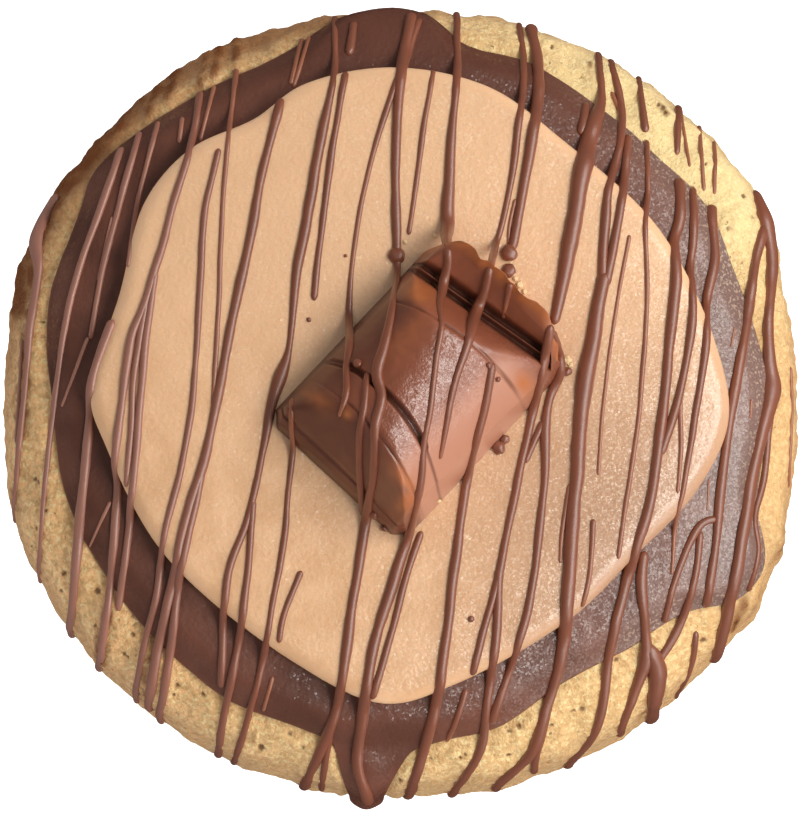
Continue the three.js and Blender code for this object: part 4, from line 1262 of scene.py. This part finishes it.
class DrizzleMaker:
    """Lays strands, drops and crumbs on the finished pieces, as seen through the picture plane."""

    def __init__(self, sizes, seed=0):
        self.form = RoundForm(sizes)
        self.picture = Picture()
        names = ("baked_round", "chocolate_pool", "cream_pool", "bar_segment")
        graph = bpy.context.evaluated_depsgraph_get()
        self.surfaces = [BVHTree.FromObject(bpy.data.objects[name], graph) for name in names]
        self.height = sizes.strand_height
        self.fullness = sizes.strand_fullness
        self.wobble = sizes.strand_wobble
        self.draw = random.Random(seed)
        self.bm = bmesh.new()
        self.bm.verts.layers.float.new("thin")

    def spots_of(self, start_width, end_width, points):
        """Evenly spaced (x, y, width) spots of a course on the picture plane."""
        last = len(points) - 1
        widths = [start_width + (end_width - start_width) * index / last for index in range(last + 1)]
        full = [(*point, width)[:3] for point, width in zip(points, widths)]
        line = smooth_line(full, COURSE_STEPS)
        lengths = lengths_along(line)
        count = max(4, round(lengths[-1] / STRAND_STEP))
        return [value_along(line, lengths, lengths[-1] * step / count) for step in range(count + 1)]

    def lay(self, spots):
        """Drops spots on what lies behind them, as a thread that spans hollows: rows of place,
        outward direction, direction across the strand, and width."""
        directions = [self.picture.direction(spot) for spot in spots]
        hits = [self.picture.first_hit(self.surfaces, direction) for direction in directions]
        heads = [after - before for before, after in zip(spots, spots[1:])]
        heads.append(heads[-1])
        seen = [row for row in zip(directions, hits, heads, spots) if row[1]]
        ground = [hit[0] for _, hit, _, _ in seen]
        depths = ground
        for _ in range(STRAND_SETTLING):
            depths = [min(own, eased) for own, eased in zip(ground, smoothed(depths, 1))]
        outwards = smoothed([hit[1] for _, hit, _, _ in seen], OUTWARD_SMOOTHING)
        rows = []
        for (direction, _, head, spot), depth, outward in zip(seen, depths, outwards):
            across = self.picture.across(head)
            rows.append((self.picture.eye + direction * depth, outward.normalized(), across, spot.z))
        return rows

    def run_down(self, row, length):
        """More of a strand's course, from a place by the rim straight on over the side of the baked round."""
        place, _, across, width = row
        angle = math.atan2(place.y, place.x)
        start = self.form.slant_at_height(place.z)
        slants = self.form.even_slants(start, LOWEST_SLANT, STRAND_STEP)
        course = []
        for slant in slants[1:max(2, round(length / STRAND_STEP))]:
            share = place.x / self.form.point(angle, slant).xy.length
            if abs(share) < GRAZING_SHARE:
                angle = math.copysign(math.acos(share), place.y)
            low = self.form.point(angle, slant)
            course.append((low, (self.form.point(angle, slant, 1.0) - low).normalized(), across, width))
        return course

    def leaves_rim(self, row, way):
        """Whether a strand at a row heads out over the rim; way is 1 at its end and -1 at its start."""
        place, _, across, _ = row
        angle = math.atan2(place.y, place.x)
        heading = self.picture.back.cross(across) * way
        outwards = heading.dot(Vector((math.cos(angle), math.sin(angle), 0)))
        return outwards > OUTWARD_HEADING and place.xy.length > RIM_SHARE * self.form.rim.radius(angle)

    def strand(self, start_width, end_width, *points):
        course = self.lay(self.spots_of(start_width, end_width, points))
        up = self.draw.uniform(*RUNS_AT_START)
        down = self.draw.uniform(*RUNS_AT_END)
        if self.leaves_rim(course[0], -1):
            course = [*reversed(self.run_down(course[0], up)), *course]
        if self.leaves_rim(course[-1], 1):
            course = [*course, *self.run_down(course[-1], down)]
        columns = [[row[part] for row in course] for part in range(3)]
        places, outwards, acrosses = [smoothed(column, COURSE_SMOOTHING) for column in columns]
        self.sweep(places, outwards, acrosses, [row[3] * self.fullness for row in course])

    def sweep(self, places, outwards, acrosses, widths):
        """A flattened tube along some places, with round tips."""
        lengths = lengths_along(places)
        total = lengths[-1]
        tip = min(TIP_LENGTH * min(widths), total / 3)
        ends = [tip * share for share in TIP_SHARES]
        count = max(2, round((total - 2 * tip) / STRAND_STEP))
        middle = [tip + (total - 2 * tip) * step / count for step in range(count + 1)]
        stops = [*ends, *middle, *[total - end for end in reversed(ends)]]
        phase = self.draw.uniform(0, 100)
        bm = bmesh.new()
        thin_and_reflection_layer = bm.verts.layers.float.new("thin")
        ring = bmesh.ops.create_circle(bm, segments=STRAND_SIDES, radius=1)["verts"]
        edges = list(bm.edges)
        caps = [edges]
        last = Matrix.Identity(4)
        for index, stop in enumerate(stops):
            if index:
                made = bmesh.ops.extrude_edge_only(bm, edges=edges)["geom"]
                ring = [item for item in made if isinstance(item, bmesh.types.BMVert)]
                edges = [item for item in made if isinstance(item, bmesh.types.BMEdge) and item.is_boundary]
            uneven = noise.noise((phase + stop / 5, 0.5, 0.5))
            uneven += 0.4 * noise.noise((phase + stop / 1.8, 9.5, 0.5))
            width = value_along(widths, lengths, stop) * (1 + self.wobble * uneven)
            from_end = min(stop, total - stop)
            roundness = math.sqrt(max(0.01, 1 - (1 - min(1, from_end / tip)) ** 2))
            sway = 0.1 * width * noise.noise((phase + stop / 4, 4.5, 0.5))
            sides = [value_along(values, lengths, stop) for values in (outwards, acrosses)]
            here = self.section(places, lengths, stop, *sides, width, roundness, sway)
            bmesh.ops.transform(bm, matrix=here @ last.inverted(), verts=ring)
            for vert in ring:
                vert[thin_and_reflection_layer] = smooth_step(THIN_WIDTHS[1], THIN_WIDTHS[0], width)
            last = here
        caps.append(edges)
        for cap in caps:
            bmesh.ops.contextual_create(bm, geom=cap)
        bmesh.ops.recalc_face_normals(bm, faces=bm.faces)
        add_mesh(self.bm, bm)

    def section(self, places, lengths, stop, outward, across, width, roundness, sway):
        """Frame of a strand's section: across, outwards and along, scaled to its half sizes."""
        place = value_along(places, lengths, stop)
        ahead = value_along(places, lengths, min(stop + HEADING_REACH, lengths[-1]))
        behind = value_along(places, lengths, max(stop - HEADING_REACH, 0))
        along = (ahead - behind).normalized()
        across = across - outward * across.dot(outward)
        across = (across - along * across.dot(along)).normalized()
        outward = across.cross(along)
        matrix = Matrix.Identity(4)
        matrix.col[0].xyz = across * width * roundness / 2
        matrix.col[1].xyz = outward * width * roundness * self.height * (1 - STRAND_LIFT)
        matrix.col[2].xyz = along
        matrix.col[3].xyz = place + outward * width * self.height * STRAND_LIFT + across * sway
        return matrix

    def lump(self, x, y, radius, flatness, roughness):
        """A drop or crumb: a ball made flatter and uneven."""
        direction = self.picture.direction((x, y))
        distance, outward = self.picture.first_hit(self.surfaces, direction)
        bm = bmesh.new()
        bmesh.ops.create_icosphere(bm, subdivisions=LUMP_SUBDIVISIONS, radius=radius)
        for vert in bm.verts:
            vert.co *= 1 + roughness * noise.noise(vert.co / radius * 1.2 + Vector((x, y, 0)))
            vert.co.z *= flatness
        turn = Vector((0, 0, 1)).rotation_difference(outward).to_matrix()
        bmesh.ops.rotate(bm, verts=bm.verts, matrix=turn)
        place = self.picture.eye + direction * distance + outward * radius * flatness * 0.5
        bmesh.ops.translate(bm, verts=bm.verts, vec=place)
        add_mesh(self.bm, bm)


def make_drizzle(sizes, material):
    maker = DrizzleMaker(sizes, DRIZZLE_SEED)
    for row in STRANDS:
        maker.strand(*row)
    for x, y, radius in DROPS:
        maker.lump(x, y, radius, DROP_FLATNESS, DROP_ROUGHNESS)
    finish_piece(maker.bm, "drizzle", material)


def make_crumbs(sizes, rows, roughness, name, material):
    maker = DrizzleMaker(sizes)
    for x, y, radius in rows:
        maker.lump(x, y, radius, CRUMB_FLATNESS, roughness)
    finish_piece(maker.bm, name, material)


# Stage


def make_floor(colours):
    bm = bmesh.new()
    bmesh.ops.create_grid(bm, x_segments=2, y_segments=2, size=FLOOR_HALF_SIZE)
    mesh = bpy.data.meshes.new("floor")
    bm.to_mesh(mesh)
    bm.free()
    mesh.materials.append(floor_finish(colours))
    floor = bpy.data.objects.new("floor", mesh)
    floor.visible_glossy = False
    bpy.context.scene.collection.objects.link(floor)


def make_light(name, azimuth, elevation, size, power):
    light = bpy.data.lights.new(name, "AREA")
    light.shape = "DISK"
    light.size = size
    light.energy = power
    light.color = LIGHT_COLOUR
    lamp = bpy.data.objects.new(name, light)
    around = math.radians(azimuth)
    up = math.radians(elevation)
    direction = Vector((math.cos(around) * math.cos(up), math.sin(around) * math.cos(up), math.sin(up)))
    lamp.location = direction * LIGHT_DISTANCE
    lamp.rotation_euler = direction.to_track_quat("Z", "Y").to_euler()
    bpy.context.scene.collection.objects.link(lamp)


def make_camera():
    picture = Picture()
    data = bpy.data.cameras.new("camera")
    data.sensor_fit = "HORIZONTAL"
    data.sensor_width = SENSOR_WIDTH
    data.lens = SENSOR_WIDTH * CAMERA_DISTANCE / PICTURE_WIDTH
    data.clip_end = CAMERA_REACH
    camera = bpy.data.objects.new("camera", data)
    camera.location = picture.eye * MM
    camera.rotation_euler = picture.back.to_track_quat("Z", "Y").to_euler()
    bpy.context.scene.collection.objects.link(camera)
    bpy.context.scene.camera = camera


def make_world():
    scene = bpy.context.scene
    world = bpy.data.worlds.new("studio")
    world.use_nodes = True
    background = world.node_tree.nodes["Background"]
    background.inputs["Color"].default_value = (1, 1, 1, 1)
    background.inputs["Strength"].default_value = BACKGROUND_STRENGTH
    scene.world = world
    world.cycles_visibility.glossy = False
    scene.view_settings.view_transform = "Standard"


# Operators


class COOKIE_OT_baked_round(bpy.types.Operator):
    """Make the baked round with its crumbly crust"""

    bl_idname = "cookie.baked_round"
    bl_label = "Baked Round"

    def execute(self, context):
        scene = context.scene
        make_baked_round(scene.cookie_sizes, dough_finish(scene.cookie_colours))
        return {"FINISHED"}


class COOKIE_OT_pools(bpy.types.Operator):
    """Make the pools of chocolate and hazelnut cream"""

    bl_idname = "cookie.pools"
    bl_label = "Pools"

    def execute(self, context):
        scene = context.scene
        make_chocolate_pool(scene.cookie_sizes, chocolate_finish(scene.cookie_colours))
        make_cream_pool(scene.cookie_sizes, cream_finish(scene.cookie_colours))
        return {"FINISHED"}


class COOKIE_OT_bar_piece(bpy.types.Operator):
    """Make the broken-off bar piece"""

    bl_idname = "cookie.bar_piece"
    bl_label = "Bar Piece"

    def execute(self, context):
        scene = context.scene
        make_bar_piece(scene.cookie_sizes, bar_finish(scene.cookie_colours))
        return {"FINISHED"}


class COOKIE_OT_drizzle(bpy.types.Operator):
    """Lay the drizzled strands and drops on the other pieces"""

    bl_idname = "cookie.drizzle"
    bl_label = "Drizzle"

    def execute(self, context):
        scene = context.scene
        make_drizzle(scene.cookie_sizes, drizzle_finish(scene.cookie_colours))
        return {"FINISHED"}


class COOKIE_OT_crumbs(bpy.types.Operator):
    """Scatter the loose crumbs and chips by the bar piece"""

    bl_idname = "cookie.crumbs"
    bl_label = "Crumbs"

    def execute(self, context):
        scene = context.scene
        sizes = scene.cookie_sizes
        wafer = wafer_finish(scene.cookie_colours)
        drizzled = bpy.data.materials["drizzled_chocolate"]
        make_crumbs(sizes, PALE_CRUMBS, PALE_CRUMB_ROUGHNESS, "wafer_crumbs", wafer)
        make_crumbs(sizes, CHIPS, CHIP_ROUGHNESS, "chips", drizzled)
        return {"FINISHED"}


class COOKIE_OT_stage(bpy.types.Operator):
    """Make the floor, lights, camera and background"""

    bl_idname = "cookie.stage"
    bl_label = "Stage"

    def execute(self, context):
        make_floor(context.scene.cookie_colours)
        for row in LIGHTS:
            make_light(*row)
        make_world()
        make_camera()
        return {"FINISHED"}


PIECE_OPERATORS = (
    COOKIE_OT_baked_round,
    COOKIE_OT_pools,
    COOKIE_OT_bar_piece,
    COOKIE_OT_drizzle,
    COOKIE_OT_crumbs,
    COOKIE_OT_stage,
)


class COOKIE_PT_panel(bpy.types.Panel):
    """Lists the pieces, sizes and colours of the stuffed cookie"""

    bl_idname = "COOKIE_PT_panel"
    bl_label = "Stuffed Cookie"
    bl_space_type = "VIEW_3D"
    bl_region_type = "UI"
    bl_category = "Cookie"

    def draw(self, context):
        layout = self.layout
        for operator in PIECE_OPERATORS:
            layout.operator(operator.bl_idname)
        for group in (context.scene.cookie_sizes, context.scene.cookie_colours):
            box = layout.box()
            for name in group.__annotations__:
                box.prop(group, name)


CLASSES = (CookieSizes, CookieColours, *PIECE_OPERATORS, COOKIE_PT_panel)


def register():
    for cls in CLASSES:
        bpy.utils.register_class(cls)
    bpy.types.Scene.cookie_sizes = bpy.props.PointerProperty(type=CookieSizes)
    bpy.types.Scene.cookie_colours = bpy.props.PointerProperty(type=CookieColours)


def unregister():
    del bpy.types.Scene.cookie_colours
    del bpy.types.Scene.cookie_sizes
    for cls in reversed(CLASSES):
        bpy.utils.unregister_class(cls)


def main():
    register()
    bpy.ops.cookie.baked_round()
    bpy.ops.cookie.pools()
    bpy.ops.cookie.bar_piece()
    bpy.ops.cookie.drizzle()
    bpy.ops.cookie.crumbs()
    bpy.ops.cookie.stage()


if __name__ == "__main__":
    main()
